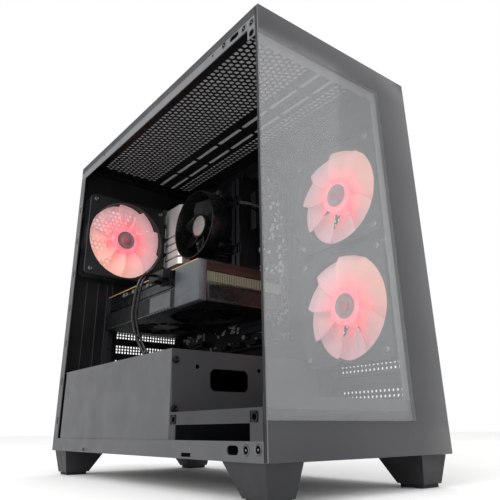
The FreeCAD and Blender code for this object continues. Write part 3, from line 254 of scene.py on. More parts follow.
def circuit_board():
    """Fibreglass board under black solder resist, with tracks that stand up slightly."""
    material, tree, shader = new_material("solder_resist", IOR=1.5, Specular_IOR_Level=0.2)
    coords = object_coords(tree)
    tint(tree, shader, coords, "090a0b", "15171a", 5.0, 6.0)
    cells = add(tree, "TexVoronoi", {"Scale": per_mm(4.0), "distance": "CHEBYCHEV", "feature": "F1"},
                {"Vector": coords})
    bump = add(tree, "Bump", {"Strength": 0.5, "Distance": 0.06 * MM}, {"Height": cells.outputs["Distance"]})
    tree.links.new(bump.outputs["Normal"], shader.inputs["Normal"])
    spread(tree, shader, coords, 0.28, 0.5, 3.0)
    return material


BLANK = powder_coat("powder_coated_blank", "17181a", "1d1e20", 0.45, 0.25)
# The case is one black powder coat. The steel and flange coats below are lighter copies of it, with the
# softboxes' sheen painted into their colour (painted highlight).
STEEL_PAINTED_SHEEN = powder_coat("powder_coated_steel_painted_sheen", "404144", "464749", 0.46)
FLANGE_PAINTED_HIGHLIGHT = powder_coat("powder_coated_flange_painted_highlight", "57585b", "5f6063", 0.42)
# The rear wall, inner and deck coats are darker copies of the same black coat, for the inside of the case
# and for faces turned from the softboxes: painted shade.
REAR_WALL_PAINTED_SHADE = powder_coat("powder_coated_rear_wall_painted_shade", "0e0f10", "151618", 0.5, 0.18)
INNER_PAINTED_SHADE = powder_coat("powder_coated_steel_painted_shade", "0b0c0d", "101112", 0.5, 0.14)
DECK_PAINTED_SHADE = powder_coat("powder_coated_deck_painted_shade", "2a2b2d", "303133", 0.48, 0.3)
GLASS = tinted_glass()
ENAMEL = enamel_border()
SCREEN = woven_screen()
ABS = moulded("black_abs", "0a0b0c", "101112", 0.42, Specular_IOR_Level=0.14)
FRAME_PBT = moulded("fan_frame_pbt", "1a1b1d", "202123", 0.42, Specular_IOR_Level=0.25)
FOOT = moulded("foot_abs", "1e1f21", "252628", 0.5, Specular_IOR_Level=0.3)
RUBBER = moulded("pad_rubber", "0c0c0d", "121213", 0.8, 1.2, 0.08)
LCP = moulded("connector_plastic", "08090a", "0f1011", 0.35, 0.5, 0.02, Specular_IOR_Level=0.16)
CARD = moulded("painted_card_shroud", "373a3f", "3e4247", 0.36)
WIRE = moulded("wire_insulation", "050506", "09090a", 0.22, 1.5, 0.01, Specular_IOR_Level=0.32)
ZINC = brushed("zinc_plated_screw", "5c5d5f", "7c7d7f", 0.4, "x")
TIN = brushed("tinned_steel", "8b8c8e", "a6a7a9", 0.38, "z")
FIN = brushed("extruded_aluminium", "9b9c9e", "bdbec0", 0.34, "z")
MILLED = brushed("milled_aluminium", "c2bfbe", "dad7d6", 0.4, "z", 0.35)
SPREADER = brushed("anodised_spreader", "1c1d20", "2b2c30", 0.4, "z", 0.8)
WARM_FIN = brushed("nickel_washed_fin", "6f6b58", "858170", 0.45, "x", 0.6)
BOARD = circuit_board()
LIT_RING = lamp_plastic("lit_hub_ring", "ff6c7a", "ff828c", 0.72)
CORE = lamp_plastic("lit_hub_core", "8e4247", "a3545a", 0.35)
CAP = moulded("hub_cap_plastic", "8b6d70", "97787b", 0.4)
SATIN = moulded("satin_black_pbt", "0a0b0c", "0f1011", 0.24, 0.6, 0.015, Specular_IOR_Level=0.3)
PLATE = brushed("brushed_label_plate", "827e7a", "979390", 0.42, "y", 0.35)
BROWN = moulded("painted_brace", "1c100c", "2c1a14", 0.35, Specular_IOR_Level=0.2)
GREY_PART = moulded("ferrite_body", "3a3c3e", "505254", 0.45)
GROUND = moulded("ground_glass_edge", "56585b", "636568", 0.5, 0.6, 0.01, Specular_IOR_Level=0.25)
# Pale grey: partly the small parts' own ceramic colour, and partly painted glints of the lamps on them.
PALE_PART_AND_GLINT = moulded("ceramic_part_and_painted_glint", "7f8183", "a3a5a7", 0.4, 0.5, 0.02)
BRASS = brushed("bare_board_edge", "b08a4a", "c7a263", 0.4, "y", 0.6)
BLADE_REAR = lit_blade("frosted_polycarbonate_rear", (-41.5, 190, 312), "y", (-0.6, 0.0, -0.8))
BLADE_UPPER = lit_blade("frosted_polycarbonate_upper", (78, -131, 300), "x", (0.0, -0.9, 0.4))
BLADE_LOWER = lit_blade("frosted_polycarbonate_lower", (78, -131, 171), "x", (0.0, -0.9, 0.4))


# ------------------------------------------------------------------ camera, light and floor
CAMERA_PLACE = (-0.3582, -0.5091, 0.0484)
CAMERA_HEADING = -37.5
CAMERA_TILT = 111.2
CAMERA_ROLL = -0.5
LENS = 38.27
SENSOR = 36.0
LENS_SHIFT = (0.0174, -0.052)
WORLD_LIGHT = 1.0
FLOOR_SIZE = 14.0
FLOOR_DROP = 0.2


def stage_camera():
    """Low camera off the near left corner, looking up at the tower."""
    data = bpy.data.cameras.new("camera")
    data.lens = LENS
    data.sensor_width = SENSOR
    data.shift_x = LENS_SHIFT[0]
    data.shift_y = LENS_SHIFT[1]
    camera = bpy.data.objects.new("camera", data)
    bpy.context.scene.collection.objects.link(camera)
    turn = (Matrix.Rotation(math.radians(CAMERA_HEADING), 4, "Z")
            @ Matrix.Rotation(math.radians(CAMERA_TILT), 4, "X")
            @ Matrix.Rotation(math.radians(CAMERA_ROLL), 4, "Z"))
    camera.matrix_world = Matrix.Translation(CAMERA_PLACE) @ turn
    bpy.context.scene.camera = camera


def soft_light(name, place, aim, size, power):
    """Large square softbox that faces a point."""
    data = bpy.data.lights.new(name, "AREA")
    data.size = size
    data.energy = power
    light = bpy.data.objects.new(name, data)
    bpy.context.scene.collection.objects.link(light)
    light.location = place
    light.rotation_euler = (Vector(aim) - Vector(place)).to_track_quat("-Z", "Y").to_euler()


def stage_floor():
    """Pale seamless floor and the white surroundings."""
    material, tree, shader = new_material("painted_floor", Roughness=0.8)
    coords = object_coords(tree)
    tint(tree, shader, coords, "f2f2f1", "f7f7f6", 300.0)
    bpy.ops.mesh.primitive_plane_add(size=FLOOR_SIZE, location=(0, 0, -FLOOR_DROP * MM))
    floor = bpy.context.object
    floor.name = "floor"
    floor.data.materials.append(material)
    world = bpy.data.worlds.new("studio")
    world.use_nodes = True
    sky = world.node_tree.nodes["Background"]
    sky.inputs["Color"].default_value = (1.0, 1.0, 1.0, 1.0)
    sky.inputs["Strength"].default_value = WORLD_LIGHT
    bpy.context.scene.world = world


bpy.context.scene.view_settings.view_transform = "Standard"
stage_camera()
stage_floor()
soft_light("left_softbox", (-1.6, -0.5, 1.1), (0, 0, 0.2), 1.4, 26.0)
soft_light("front_softbox", (0.6, -2.0, 1.2), (0, 0, 0.2), 1.4, 14.0)

# ------------------------------------------------------------------ finishes of the CAD nodes
FINISH = {
    STEEL_PAINTED_SHEEN: ["base_pan", "right_side_panel"],
    FLANGE_PAINTED_HIGHLIGHT: ["front_frame"],
    DECK_PAINTED_SHADE: ["front_platform"],
    INNER_PAINTED_SHADE: ["motherboard_tray", "fan_bracket", "top_panel", "psu_case"],
    SCREEN: ["top_dust_filter", "bottom_dust_filter"],
    FRAME_PBT: ["rear_fan_frame", "upper_fan_frame", "lower_fan_frame"],
    ABS: ["panel_sockets", "gpu_shroud", "gpu_fan_rear", "gpu_fan_front", "psu_fan_rotor",
          "front_io_panel", "power_button", "reset_button"],
    FOOT: ["feet"],
    RUBBER: ["foot_pads"],
    ZINC: ["panel_thumbscrews", "board_standoffs", "psu_grille"],
    TIN: ["io_shield", "io_ports", "cpu_socket", "gpu_bracket"],
    FIN: ["cpu_heatsink"],
    MILLED: ["vrm_heatsink"],
    WARM_FIN: ["gpu_heatsink"],
    BOARD: ["motherboard", "gpu_board"],
    LCP: ["ram_slots", "ram_latch_rear", "ram_latch_front", "pcie_slots", "pcie_latch", "atx_plug",
          "board_connectors", "gpu_power_plug", "psu_inlet", "psu_switch"],
    SPREADER: ["ram_modules", "chipset_heatsink"],
    BLANK: ["slot_covers", "slot_retainer"],
}
for finish, names in FINISH.items():
    for name in names:
        for slot in nodes[name].material_slots:
            slot.material = finish

# ------------------------------------------------------------------ making pieces
def fresh(name, kind, **settings):
    """Adds a primitive with nothing else selected, and names it. Settings are in metres."""
    bpy.ops.object.select_all(action="DESELECT")
    getattr(bpy.ops.mesh, "primitive_" + kind + "_add")(**settings)
    piece = bpy.context.object
    piece.name = name
    return piece


def block(name, low, high):
    """A cuboid between two corners in millimetres, its place in its mesh."""
    middle = [(a + b) / 2 * MM for a, b in zip(low, high)]
    piece = fresh(name, "cube", size=1.0, location=middle)
    piece.scale = [(b - a) * MM for a, b in zip(low, high)]
    bpy.ops.object.transform_apply()
    return piece


def pick(piece, test):
    """Enters edit mode with only the faces selected whose middle and normal pass the test."""
    bpy.ops.object.mode_set(mode="EDIT")
    bpy.ops.mesh.select_mode(type="FACE")
    bpy.ops.mesh.select_all(action="DESELECT")
    bpy.ops.object.mode_set(mode="OBJECT")
    for face in piece.data.polygons:
        face.select = test(face.center / MM, face.normal)
    bpy.ops.object.mode_set(mode="EDIT")


def leave():
    """Back to object mode."""
    bpy.ops.object.mode_set(mode="OBJECT")


def activate(piece):
    """Makes one piece the only selected and the active one."""
    bpy.ops.object.select_all(action="DESELECT")
    piece.select_set(True)
    bpy.context.view_layer.objects.active = piece


def towards(side):
    """Test for the faces that look to one side, such as "-x"."""
    axis = "xyz".index(side[1])
    sign = -1 if side[0] == "-" else 1
    return lambda middle, normal: normal[axis] * sign > 0.9


def split(piece, place, normal):
    """Cuts new edges into a piece where a plane through a place in mm meets it."""
    bpy.ops.object.mode_set(mode="EDIT")
    bpy.ops.mesh.select_all(action="SELECT")
    bpy.ops.mesh.bisect(plane_co=[value * MM for value in place], plane_no=normal)
    leave()


def press(piece, side, inset, shift, walls=False):
    """Insets one side and moves it by a shift in mm, with walls standing straight if asked."""
    pick(piece, towards(side))
    bpy.ops.mesh.inset(thickness=inset * MM)
    offset = [value * MM for value in shift]
    if walls:
        bpy.ops.mesh.extrude_region_move(TRANSFORM_OT_translate={"value": offset})
    else:
        bpy.ops.transform.translate(value=offset)
    leave()


def rod(name, radius, low, high, sides, place=(0, 0)):
    """An upright cylinder between two heights in mm, its place in its mesh."""
    piece = fresh(name, "cylinder", vertices=sides, radius=radius * MM, depth=(high - low) * MM,
                  location=(place[0] * MM, place[1] * MM, (low + high) / 2 * MM))
    bpy.ops.object.transform_apply()
    return piece


def apply(piece, kind, **settings):
    """Adds a modifier with its settings and applies it."""
    activate(piece)
    modifier = piece.modifiers.new(kind.lower(), kind)
    for name, value in settings.items():
        setattr(modifier, name, value)
    bpy.ops.object.modifier_apply(modifier=modifier.name)


def soften(piece, width, segments=2, angle=40.0):
    """Rounds the sharp edges by a width in millimetres."""
    apply(piece, "BEVEL", width=width * MM, segments=segments, angle_limit=math.radians(angle))


def twin_of(piece):
    """A copy of a piece with a mesh of its own."""
    twin = piece.copy()
    twin.data = piece.data.copy()
    bpy.context.scene.collection.objects.link(twin)
    return twin


def merge(name, pieces):
    """Joins pieces to one object."""
    activate(pieces[0])
    for piece in pieces:
        piece.select_set(True)
    bpy.ops.object.join()
    pieces[0].name = name
    return pieces[0]


def spread_out(piece, places):
    """Copies a piece, modelled at the origin, to each place: an offset in mm or a 4x4 matrix."""
    copies = []
    for place in places:
        twin = twin_of(piece)
        matrix = place if isinstance(place, Matrix) else Matrix.Translation(Vector(place) * MM)
        twin.data.transform(matrix)
        copies.append(twin)
    bpy.data.objects.remove(piece)
    return merge(copies[0].name.split(".")[0], copies)


def settle(piece, body, material, replaces=(), smooth=35.0):
    """Finishes a piece: smooth shading, its material, its body and what it stands for."""
    activate(piece)
    bpy.ops.object.shade_smooth_by_angle(angle=math.radians(smooth))
    if material is not None:
        piece.data.materials.clear()
        piece.data.materials.append(material)
    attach(piece, body)
    if replaces:
        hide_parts(*replaces)
    return piece


def slab(name, low, high, rounding, material, segments=2, pressed=None):
    """A rounded block on the case. Pressed holds a side, its inset and its shift in mm."""
    piece = block(name, low, high)
    if pressed:
        press(piece, *pressed)
    soften(piece, rounding, segments)
    return settle(piece, "case", material)


def row(name, low, high, rounding, places, material, segments=1):
    """One small rounded block copied to each place, as a single piece on the case."""
    piece = block(name, low, high)
    soften(piece, rounding, segments)
    return settle(spread_out(piece, places), "case", material)


def paint(piece, rules):
    """Gives faces their material: each rule is a material and a test on middle and normal."""
    piece.data.materials.clear()
    for material, test in rules:
        piece.data.materials.append(material)
    for face in piece.data.polygons:
        for index, (material, test) in enumerate(rules):
            if test(face.center / MM, face.normal):
                face.material_index = index


# ------------------------------------------------------------------ front glass
# Edges of the pane's printed border in mm: its inner right side, its foot and its head.
BORDER_RIGHT = 59.5
BORDER_FOOT = 54.5
BORDER_HEAD = 391.5


def in_border(middle, normal):
    """True for the faces of the pane that carry the enamel."""
    return middle.x > BORDER_RIGHT or middle.z > BORDER_HEAD or middle.z < BORDER_FOOT


def front_pane():
    """Pane with ground edges; its border is enamelled on the right, above and below."""
    pane = block("front_pane", (-108, -211, 27), (108, -207, 421))
    split(pane, (BORDER_RIGHT, 0, 0), (1, 0, 0))
    for level in (BORDER_FOOT, BORDER_HEAD):
        split(pane, (0, 0, level), (0, 0, 1))
    soften(pane, 0.8, 2)
    paint(pane, ((GLASS, lambda middle, normal: not in_border(middle, normal)), (ENAMEL, in_border)))
    settle(pane, "case", None, ("front_glass",))


front_pane()


# ------------------------------------------------------------------ steel with painted sheen outside and painted shade inside
OUTER_SKIN = -106.9
SHROUD_SKIN = -105.9
WELD = 0.001


def lit_outside_shaded_inside(name, node, outer, inner, edge):
    """A node's own shape, its faces left of an x in mm in one copy of the coat and the faces inside in
    another: painted sheen outside and painted shade inside, where the real coat is the same.
    """
    piece = twin_of(nodes[node])
    piece.parent = None
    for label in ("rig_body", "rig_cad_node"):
        if label in piece:
            del piece[label]
    piece.name = name
    activate(piece)
    bpy.ops.object.mode_set(mode="EDIT")
    bpy.ops.mesh.select_all(action="SELECT")
    bpy.ops.mesh.remove_doubles(threshold=WELD * MM)
    leave()
    paint(piece, ((inner, lambda middle, normal: middle.x >= edge),
                  (outer, lambda middle, normal: middle.x < edge)))
    return settle(piece, "case", None, (node,), 20.0)


lit_outside_shaded_inside("left_flange_ring", "top_frame", FLANGE_PAINTED_HIGHLIGHT, INNER_PAINTED_SHADE, OUTER_SKIN)
lit_outside_shaded_inside("rear_wall", "rear_panel", STEEL_PAINTED_SHEEN, REAR_WALL_PAINTED_SHADE, OUTER_SKIN)
lit_outside_shaded_inside("supply_shroud", "psu_shroud", STEEL_PAINTED_SHEEN, DECK_PAINTED_SHADE, SHROUD_SKIN)


# ------------------------------------------------------------------ fan rotors
# Centres of the case fans in mm across, along and up, and the reach of their corner holes.
REAR_FAN = (-41.5, 183.5, 312)
UPPER_FAN = (69.5, -131, 300)
LOWER_FAN = (69.5, -131, 171)
FAN_HOLE = 52.5
# Radii in mm at which the hub's finish changes, and the height of the cap's faces above z 0.
CAP_EDGE = 13.6
CORE_EDGE = 6.1
CAP_HEIGHT = 3


def blade_sheet(name, radii, chords, pitches, sweep, level, thick):
    """One scimitar blade about Z: a grid whose points are moved by formula, then thickened.

    No edit tool gives a twisted and swept sheet whose tip stays on an exact circle.
    """
    sheet = fresh(name, "grid", x_subdivisions=9, y_subdivisions=7, size=1.0)
    for vertex in sheet.data.vertices:
        u, v = vertex.co.x + 0.5, vertex.co.y
        radius = radii[0] + (radii[1] - radii[0]) * u
        chord = (chords[0] + (chords[1] - chords[0]) * u) * v
        pitch = math.radians(pitches[0] + (pitches[1] - pitches[0]) * u)
        angle = math.radians(sweep) * u * u + chord * math.cos(pitch) / radius
        height = level + chord * math.sin(pitch) + 0.9 * (1 - 4 * v * v)
        vertex.co = (radius * math.cos(angle) * MM, radius * math.sin(angle) * MM, height * MM)
    apply(sheet, "SOLIDIFY", thickness=thick * MM, offset=0.0)
    return sheet


def around(piece, count):
    """Copies a piece evenly about the Z axis."""
    return spread_out(piece, [Matrix.Rotation(2 * math.pi * k / count, 4, "Z") for k in range(count)])


def stepped_hub(name, radius, depth, ring, core):
    """Hub cup whose cap at z 0 has a recessed ring and a raised core, radii in mm."""
    hub = rod(name, radius, 0, depth, 64)
    for inset, rise in ((radius - ring, 0.7), (ring - core, -1.0)):
        pick(hub, lambda middle, normal: normal.z < -0.9 and middle.xy.length < 0.1)
        bpy.ops.mesh.inset(thickness=inset * MM)
        bpy.ops.mesh.extrude_region_move(TRANSFORM_OT_translate={"value": (0, 0, rise * MM)})
        leave()
    soften(hub, 0.5, 2, 50)
    return hub


def on_cap(middle, low, high):
    """True for the hub's cap between two radii in mm."""
    return low < middle.xy.length <= high and middle.z <= CAP_HEIGHT


def lit_rotor(name, centre, axis, finish, body):
    """Frosted rotor with nine wide blades, a lit ring round its hub and a grey cap."""
    blades = around(blade_sheet(name + "_blade", (19.5, 56.0), (27.0, 72.0), (38, 12.0), 12, 9.25, 1.2), 9)
    hub = stepped_hub(name + "_hub", 20.5, 18.5, 13.5, 6.0)
    paint(hub, ((LIT_RING, lambda middle, normal: middle.xy.length > CAP_EDGE or middle.z > CAP_HEIGHT),
                (CAP, lambda middle, normal: on_cap(middle, CORE_EDGE, CAP_EDGE)),
                (CORE, lambda middle, normal: on_cap(middle, -1, CORE_EDGE))))
    blades.data.materials.append(finish)
    turn = Matrix.Rotation(math.pi / 2, 4, "Y") if axis == "x" else Matrix.Rotation(-math.pi / 2, 4, "X")
    for piece, suffix in ((blades, "_blades"), (hub, "_hub")):
        piece.data.transform(Matrix.Translation(Vector(centre) * MM) @ turn)
        piece.name = name + suffix
        settle(piece, body, None, (body + "_rotor",))


lit_rotor("rear_rotor", REAR_FAN, "y", BLADE_REAR, "rear_fan")
lit_rotor("upper_rotor", UPPER_FAN, "x", BLADE_UPPER, "upper_fan")
lit_rotor("lower_rotor", LOWER_FAN, "x", BLADE_LOWER, "lower_fan")


# ------------------------------------------------------------------ screws
def pan_screw(radius=3.3, height=1.9):
    """Pan-head screw about Z with its head's top at the height and a driver recess."""
    screw = rod("screw", radius, 0, height, 20)
    soften(screw, 0.5, 2, 50)
    pick(screw, towards("+z"))
    bpy.ops.mesh.inset(thickness=radius * 0.42 * MM)
    bpy.ops.mesh.extrude_region_move(TRANSFORM_OT_translate={"value": (0, 0, -0.9 * MM)})
    bpy.ops.transform.resize(value=(0.6, 0.6, 1.0))
    leave()
    return screw


FACING = {"-x": Matrix.Rotation(-math.pi / 2, 4, "Y"), "-y": Matrix.Rotation(math.pi / 2, 4, "X"),
          "+y": Matrix.Rotation(-math.pi / 2, 4, "X")}


def screws(name, facing, places, material, radius=3.3, height=1.9):
    """A set of equal screws whose heads stand out in one direction from the places in mm."""
    screw = pan_screw(radius, height)
    screw.data.transform(FACING[facing])
    piece = spread_out(screw, places)
    piece.name = name
    return settle(piece, "case", material)


def corners(a, b, reach):
    """The four corners of a square round a point, at a reach from it on both axes."""
    return [(a + i * reach, b + j * reach) for i in (-1, 1) for j in (-1, 1)]


# Planes in mm on which the screw heads sit.
FAN_INSIDE = 181
SIDE_FAN_INSIDE = 67
BOARD_FACE = 72
WALL_OUTSIDE = 207
rear_holes = corners(REAR_FAN[0], REAR_FAN[2], FAN_HOLE)
side_holes = corners(UPPER_FAN[1], UPPER_FAN[2], FAN_HOLE) + corners(LOWER_FAN[1], LOWER_FAN[2], FAN_HOLE)
screws("rear_fan_screws", "-y", [(x, FAN_INSIDE, z) for x, z in rear_holes], ZINC)
screws("side_fan_screws", "-x", [(SIDE_FAN_INSIDE, y, z) for y, z in side_holes], ZINC)
board_holes = [(BOARD_FACE, y, z) for y in (196.5, 40.0, -33.0) for z in (382.0, 228.0, 152.0)]
screws("board_screws", "-x", board_holes, ZINC, radius=2.9, height=1.6)
screws("rear_wall_fan_screws", "+y", [(x, WALL_OUTSIDE, z) for x, z in rear_holes], ZINC)
screws("supply_screws", "+y", [(x, WALL_OUTSIDE, z) for x in (-79.5, 73.5) for z in (36.0, 112.0)], ZINC)


# ------------------------------------------------------------------ fan plate cross pieces
def bracket_bridges():
    """Two cross plates in the fan plate's opening, each with a pressed ridge."""
    upper = block("bracket_bridge", (91.9, -179, 86), (92.9, -84, 101.5))
    press(upper, "-x", 3, (-0.8, 0, 0), walls=True)
    lower = block("bracket_sill", (91.9, -167, 56.5), (92.9, -84, 67.5))
    press(lower, "-x", 2.5, (-0.8, 0, 0), walls=True)
    piece = merge("bracket_bridges", [upper, lower])
    soften(piece, 0.4, 2)
    settle(piece, "case", INNER_PAINTED_SHADE)


bracket_bridges()


# ------------------------------------------------------------------ steel and glass edges
LEFT_SIDE = -108.05


def edge_pieces():
    """Lip of the top cover, ribs of the rear wall, edge and gasket of the glass, socket rings."""
    # A real lip of the top cover, drawn in the darker deck copy of the coat: painted shade along the top
    # edge.
    slab("top_cover_lip", (-108.4, -206.8, 411.4), (-107.4, 210.8, 420.4), 0.3, DECK_PAINTED_SHADE,
         pressed=("-x", 1.2, (0.35, 0, 0)))
    row("rear_wall_ribs", (-0.6, 204.6, 119.8), (0.6, 206.2, 246), 0.5,
        [(x, 0, 0) for x in (-86, -69, -55, -47)], DECK_PAINTED_SHADE, 2)
    slab("glass_ground_edge", (-108.2, -210.8, 27.6), (-107.8, -209.7, 420.4), 0.2, GROUND)
    slab("glass_gasket", (-108.25, -209.5, 27.6), (-107.8, -207.1, 420.2), 0.15, RUBBER)
    ring = fresh("socket_ring", "torus", major_radius=3.3 * MM, minor_radius=0.42 * MM, major_segments=28,
                 minor_segments=8)
    stud = rod("socket_stud", 0.9, -0.4, 0.4, 16)
    soften(stud, 0.2, 1, 50)
    target = merge("socket_rings", [ring, stud])
    target.data.transform(Matrix.Rotation(math.pi / 2, 4, "Y"))
    spots = [(LEFT_SIDE, y, z) for y, z in ((-186, 35), (-200, 35.6), (-157, 408), (-189.5, 406),
                                            (-201.2, 405.2))]
    settle(spread_out(target, spots), "case", ZINC)


edge_pieces()
screws("shroud_wall_screws", "-y", [(-102.5, -75, 109.5), (-102.6, -75, 67.0)], LCP)


# ------------------------------------------------------------------ processor cooler
# The cooler's axis in mm along and up, and where its ring and its rotor start across.
COOLER_AXIS = (80, 316.5)
RING_START = 14
ROTOR_START = 18.4
COOLER_POST = 50.5
PLATE_EDGE = 14.6


def to_cooler(piece, start):
    """Turns a piece made about Z to the cooler's axis, its z 0 at an x in mm."""
    place = Vector((start, *COOLER_AXIS)) * MM
    piece.data.transform(Matrix.Translation(place) @ Matrix.Rotation(math.pi / 2, 4, "Y"))


def cooler_shroud():
    """Tapered ring with a thin front lip, on four screwed posts."""
    ring = rod("cooler_ring", 49, -5, 28, 96)
    for side, width in ((-1, 2.2), (1, 5.5)):
        pick(ring, lambda middle, normal: normal.z * side > 0.9 and middle.xy.length < 1)
        bpy.ops.mesh.inset(thickness=width * MM)
        bpy.ops.mesh.delete(type="FACE")
        leave()
    bpy.ops.object.mode_set(mode="EDIT")
    bpy.ops.mesh.select_mode(type="EDGE")
    bpy.ops.mesh.select_all(action="DESELECT")
    bpy.ops.mesh.select_non_manifold()
    bpy.ops.mesh.bridge_edge_loops()
    bpy.ops.mesh.select_all(action="SELECT")
    bpy.ops.mesh.normals_make_consistent(inside=False)
    leave()
    soften(ring, 0.7, 2, 50)
    diagonal = COOLER_POST * math.sqrt(0.5)
    post = rod("cooler_post", 3.9, 14, 58, 28, (diagonal, diagonal))
    soften(post, 0.8, 2, 50)
    posts = around(post, 4)
    piece = merge("cooler_shroud", [ring, posts])
    to_cooler(piece, RING_START)
    settle(piece, "case", SATIN, ("cpu_fan_shroud",))


def cooler_rotor():
    """Seven swept black blades round a hub that carries a round brushed label plate."""
    blades = around(blade_sheet("cooler_blade", (16, 42.0), (18.0, 31.0), (48, 28), 26, 10.5, 1.4), 7)
    hub = stepped_hub("cooler_hub", 17.0, 20.0, 15.2, 14.4)
    paint(hub, ((SATIN, lambda middle, normal: not on_cap(middle, -1, PLATE_EDGE)),
                (PLATE, lambda middle, normal: on_cap(middle, -1, PLATE_EDGE))))
    blades.data.materials.append(ABS)
    for piece, name in ((blades, "cooler_blades"), (hub, "cooler_hub")):
        to_cooler(piece, ROTOR_START)
        piece.name = name
        settle(piece, "cpu_fan", None, ("cpu_fan_rotor",))


cooler_shroud()
cooler_rotor()


# ------------------------------------------------------------------ graphics card
# Heights in mm of the grooves along the card's side cover, and the spacing of its small parts.
GROOVES = (204.0, 210.0, 216.0)
GROOVE_PITCH = 6
DASH_PITCH = 7.5
FIN_PITCH = 2.4
CONTACT_PITCH = 2.6


def card_side():
    """Corner block, side panel, ribbed side cover, board edge and dashed trim."""
    slab("card_corner_block", (-60.4, -46.4, 176.7), (-50.5, 5, 222.6), 1.2, CARD,
         pressed=("-x", 5, (-0.1, 0, 0)))
    slab("card_corner_foot", (-60.8, -46.6, 176.6), (-52, 4, 190.0), 1.6, CARD)
    slab("card_side_panel", (-60.7, 13, 179.5), (-59.8, 62, 198.2), 0.3, CARD,
         pressed=("-x", 1.6, (0.3, 0, 0)))
    back = block("card_side_cover", (-54.2, 6, 199.5), (-52.2, 188, 221.5))
    for level in GROOVES:
        split(back, (0, 0, level), (0, 0, 1))
    first = GROOVES[0] - GROOVE_PITCH
    pick(back, lambda middle, normal: normal.x < -0.9 and int((middle.z - first) / GROOVE_PITCH) % 2 == 1)
    bpy.ops.mesh.extrude_region_move(TRANSFORM_OT_translate={"value": (-1.2 * MM, 0, 0)})
    leave()
    soften(back, 0.3, 1)
    settle(back, "case", SATIN)
    slab("card_board_edge", (-58.7, -40, 222.8), (-57.9, 189, 224.2), 0.2, BRASS, 1)
    row("card_edge_dashes", (-60.6, 0, 178.2), (-60.2, 4.5, 178.8), 0.1,
        [(0, 12 + DASH_PITCH * k, 0) for k in range(22)], TIN)


def card_front():
    """Lower cover, brace, post and fin stack on the card's front end."""
    slab("card_front_cover", (-50, -46.6, 177.4), (59.6, -45.4, 197.5), 0.4, SATIN,
         pressed=("-y", 4, (0, 0.5, 0)))
    slab("card_front_brace", (-50, -45.2, 211.5), (58.5, -42.4, 222.4), 0.5, BROWN,
         pressed=("-y", 2.4, (0, 0.8, 0)))
    slab("card_front_post", (55.5, -46.3, 180), (60, -41, 222.5), 0.8, CARD)
    fin = block("card_end_fin", (0, -45.0, 199.2), (1.1, -43.2, 210.4))
    soften(fin, 0.2, 1)
    fins = spread_out(fin, [(-49.5 + FIN_PITCH * k, 0, 0) for k in range(44)])
    bar = block("card_end_fin_bar", (-50, -43.4, 199.0), (55.6, -42.6, 210.8))
    soften(bar, 0.2, 1)
    settle(merge("card_end_fins", [fins, bar]), "case", WARM_FIN)


def card_small_parts():
    """Coils and gold contacts along the card's side."""
    row("card_coil", (-57, 0, 216.5), (-52.5, 6, 221.8), 0.8,
        [(0, y, 0) for y in (58, 67, 76, 98, 107, 116, 134, 143)], GREY_PART, 2)
    row("card_gold_contact", (-58.8, 0, 214), (-58.0, 1.2, 221), 0.2,
        [(0, 9 + CONTACT_PITCH * k, 0) for k in range(5)], BRASS)


card_side()
card_front()
card_small_parts()


# ------------------------------------------------------------------ wires
def wire(name, points, thick):
    """One insulated wire: a smooth curve of round section through the run of points in mm."""
    curve = bpy.data.curves.new(name, "CURVE")
    curve.dimensions = "3D"
    spline = curve.splines.new("NURBS")
    spline.points.add(len(points) - 1)
    for knot, point in zip(spline.points, points):
        knot.co = (point[0] * MM, point[1] * MM, point[2] * MM, 1.0)
    spline.order_u = 3
    spline.use_endpoint_u = True
    curve.bevel_depth = thick / 2 * MM
    curve.bevel_resolution = 3
    curve.use_fill_caps = True
    curve.resolution_u = 8
    strand = bpy.data.objects.new(name, curve)
    bpy.context.scene.collection.objects.link(strand)
    activate(strand)
    bpy.ops.object.convert(target="MESH")
    return bpy.context.object


# The leads' runs from plug to supply, in mm.
CARD_LEAD = [(-74, 25, 216), (-86, 25, 216), (-94, 24, 206), (-94, 32, 184), (-90, 42, 166), (-83, 40, 143),
             (-78, 24, 120), (-72, 8, 100), (-66, 6, 76), (-56, 18, 54), (-46, 42, 48), (-46, 66, 48)]
BOARD_LEAD = [(48, -11, 318), (20, -11, 318), (6, -34, 310), (22, -56, 300), (52, -58, 286), (82, -57, 268),
              (95, -56, 236), (95, -52, 194), (95, -46, 152), (94, -34, 112), (78, -14, 84), (58, 14, 70),
              (44, 38, 74), (44, 66, 74)]


def bundle(name, route, offsets, thick, node):
    """Wires side by side along one route, each a little off its line."""
    strands = [wire(name, [(x + a, y + b, z + c) for x, y, z in route], thick) for a, b, c in offsets]
    settle(merge(name, strands), "case", WIRE, (node,))


bundle("card_power_wires", CARD_LEAD, ((-1.5, 1.2, 0), (1.5, -1.2, 0)), 3.2, "gpu_power_cable")
BUNDLE = ((-1, -1), (1, -1), (-1, 0.2), (1, 0.3), (-0.6, 1.3), (1, 1.4))
bundle("board_power_wires", BOARD_LEAD, [(1.3 * a, 1.5 * b, 1.7 * b) for a, b in BUNDLE], 1.9,
       "atx_power_cable")


# ------------------------------------------------------------------ parts on the board
CAPACITOR_SPOTS = ((148, 377), (140, 377), (132, 378), (120, 379), (112, 379), (104, 378), (10, 232),
                   (2, 232), (-6, 230), (60, 232), (40, 234), (24, 206), (-20, 214), (-28, 206), (-14, 176),
                   (-30, 168), (40, 160), (160, 268), (150, 268), (-36, 250), (-36, 262))
CAPACITOR_LEVEL = 68.3
CHOKE_PITCH = 11
# Each kind of small part: its name, how many, its smallest and largest side in mm, its material.
# The light parts are pale partly for their own colour and partly as painted glints of light on the board.
SMALL_PARTS = (("dark_chips", 46, 2.0, 6.5, LCP), ("pale_parts_and_painted_glints", 260, 0.8, 2.6, PALE_PART_AND_GLINT),
               ("metal_parts", 120, 0.7, 2.6, TIN))
SEED = 7


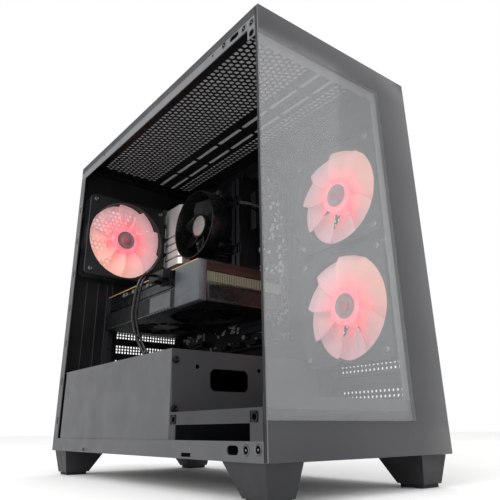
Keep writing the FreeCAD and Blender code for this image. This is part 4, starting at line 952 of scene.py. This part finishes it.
def is_taken(y, z):
    """True where the memory, the cooler, the ports or a slot stands on the board, in mm."""
    memory = 13 < y < 40 and z > 233
    cooler = 30 < y < 132 and 266 < z < 368
    ports = 150 < y and z > 280
    slots = abs(z - 223.5) < 9 or abs(z - 162.5) < 7
    return memory or cooler or ports or slots


def capacitors_and_chokes():
    """Electrolytic cans with a dished top, and the coils of the voltage regulators."""
    can = rod("capacitor", 3.1, -3.75, 3.75, 20)
    soften(can, 0.6, 2, 50)
    press(can, "+z", 0.6, (0, 0, -0.3))
    can.data.transform(Matrix.Rotation(-math.pi / 2, 4, "Y"))
    spots = [(CAPACITOR_LEVEL, y, z) for y, z in CAPACITOR_SPOTS]
    settle(spread_out(can, spots), "case", TIN).name = "capacitors"
    places = [(0, 145, 366 - CHOKE_PITCH * k) for k in range(7)]
    places += [(0, 135 - CHOKE_PITCH * k, 388) for k in range(4)]
    row("chokes", (64.8, -4, -4), (BOARD_FACE, 4, 4), 0.9, places, GREY_PART, 2)


def small_parts():
    """Chips and small parts soldered to the board's face, most of them low on the board."""
    chip = block("chip", (70.4, -1, -1), (BOARD_FACE, 1, 1))
    soften(chip, 0.15, 1)
    for name, count, low, high, material in SMALL_PARTS:
        places = []
        while len(places) < count:
            y, z = random.uniform(-37, 199), random.triangular(146, 386, 170)
            tall = random.uniform(low, high)
            wide = random.uniform(low, high)
            if is_taken(y, z):
                continue
            places.append(Matrix.Translation((0, y * MM, z * MM)) @ Matrix.Diagonal((1, wide, tall, 1)))
        copies = spread_out(twin_of(chip), places)
        copies.name = name
        settle(copies, "case", material)
    bpy.data.objects.remove(chip)


def board_tracks():
    """Short bare tracks near the board's front edge, level, upright or aslant."""
    track = block("board_track", (71.7, -0.35, -9), (72.05, 0.35, 9))
    places = []
    for _ in range(26):
        y, z = random.uniform(-36, 20), random.uniform(150, 380)
        turn = Matrix.Rotation(random.choice((0, 0.785, 1.571)), 4, "X")
        places.append(Matrix.Translation((0, y * MM, z * MM)) @ turn)
    soften(track, 0.1, 1)
    copies = spread_out(track, places)
    copies.name = "board_tracks"
    settle(copies, "case", TIN)


random.seed(SEED)
capacitors_and_chokes()
small_parts()
board_tracks()
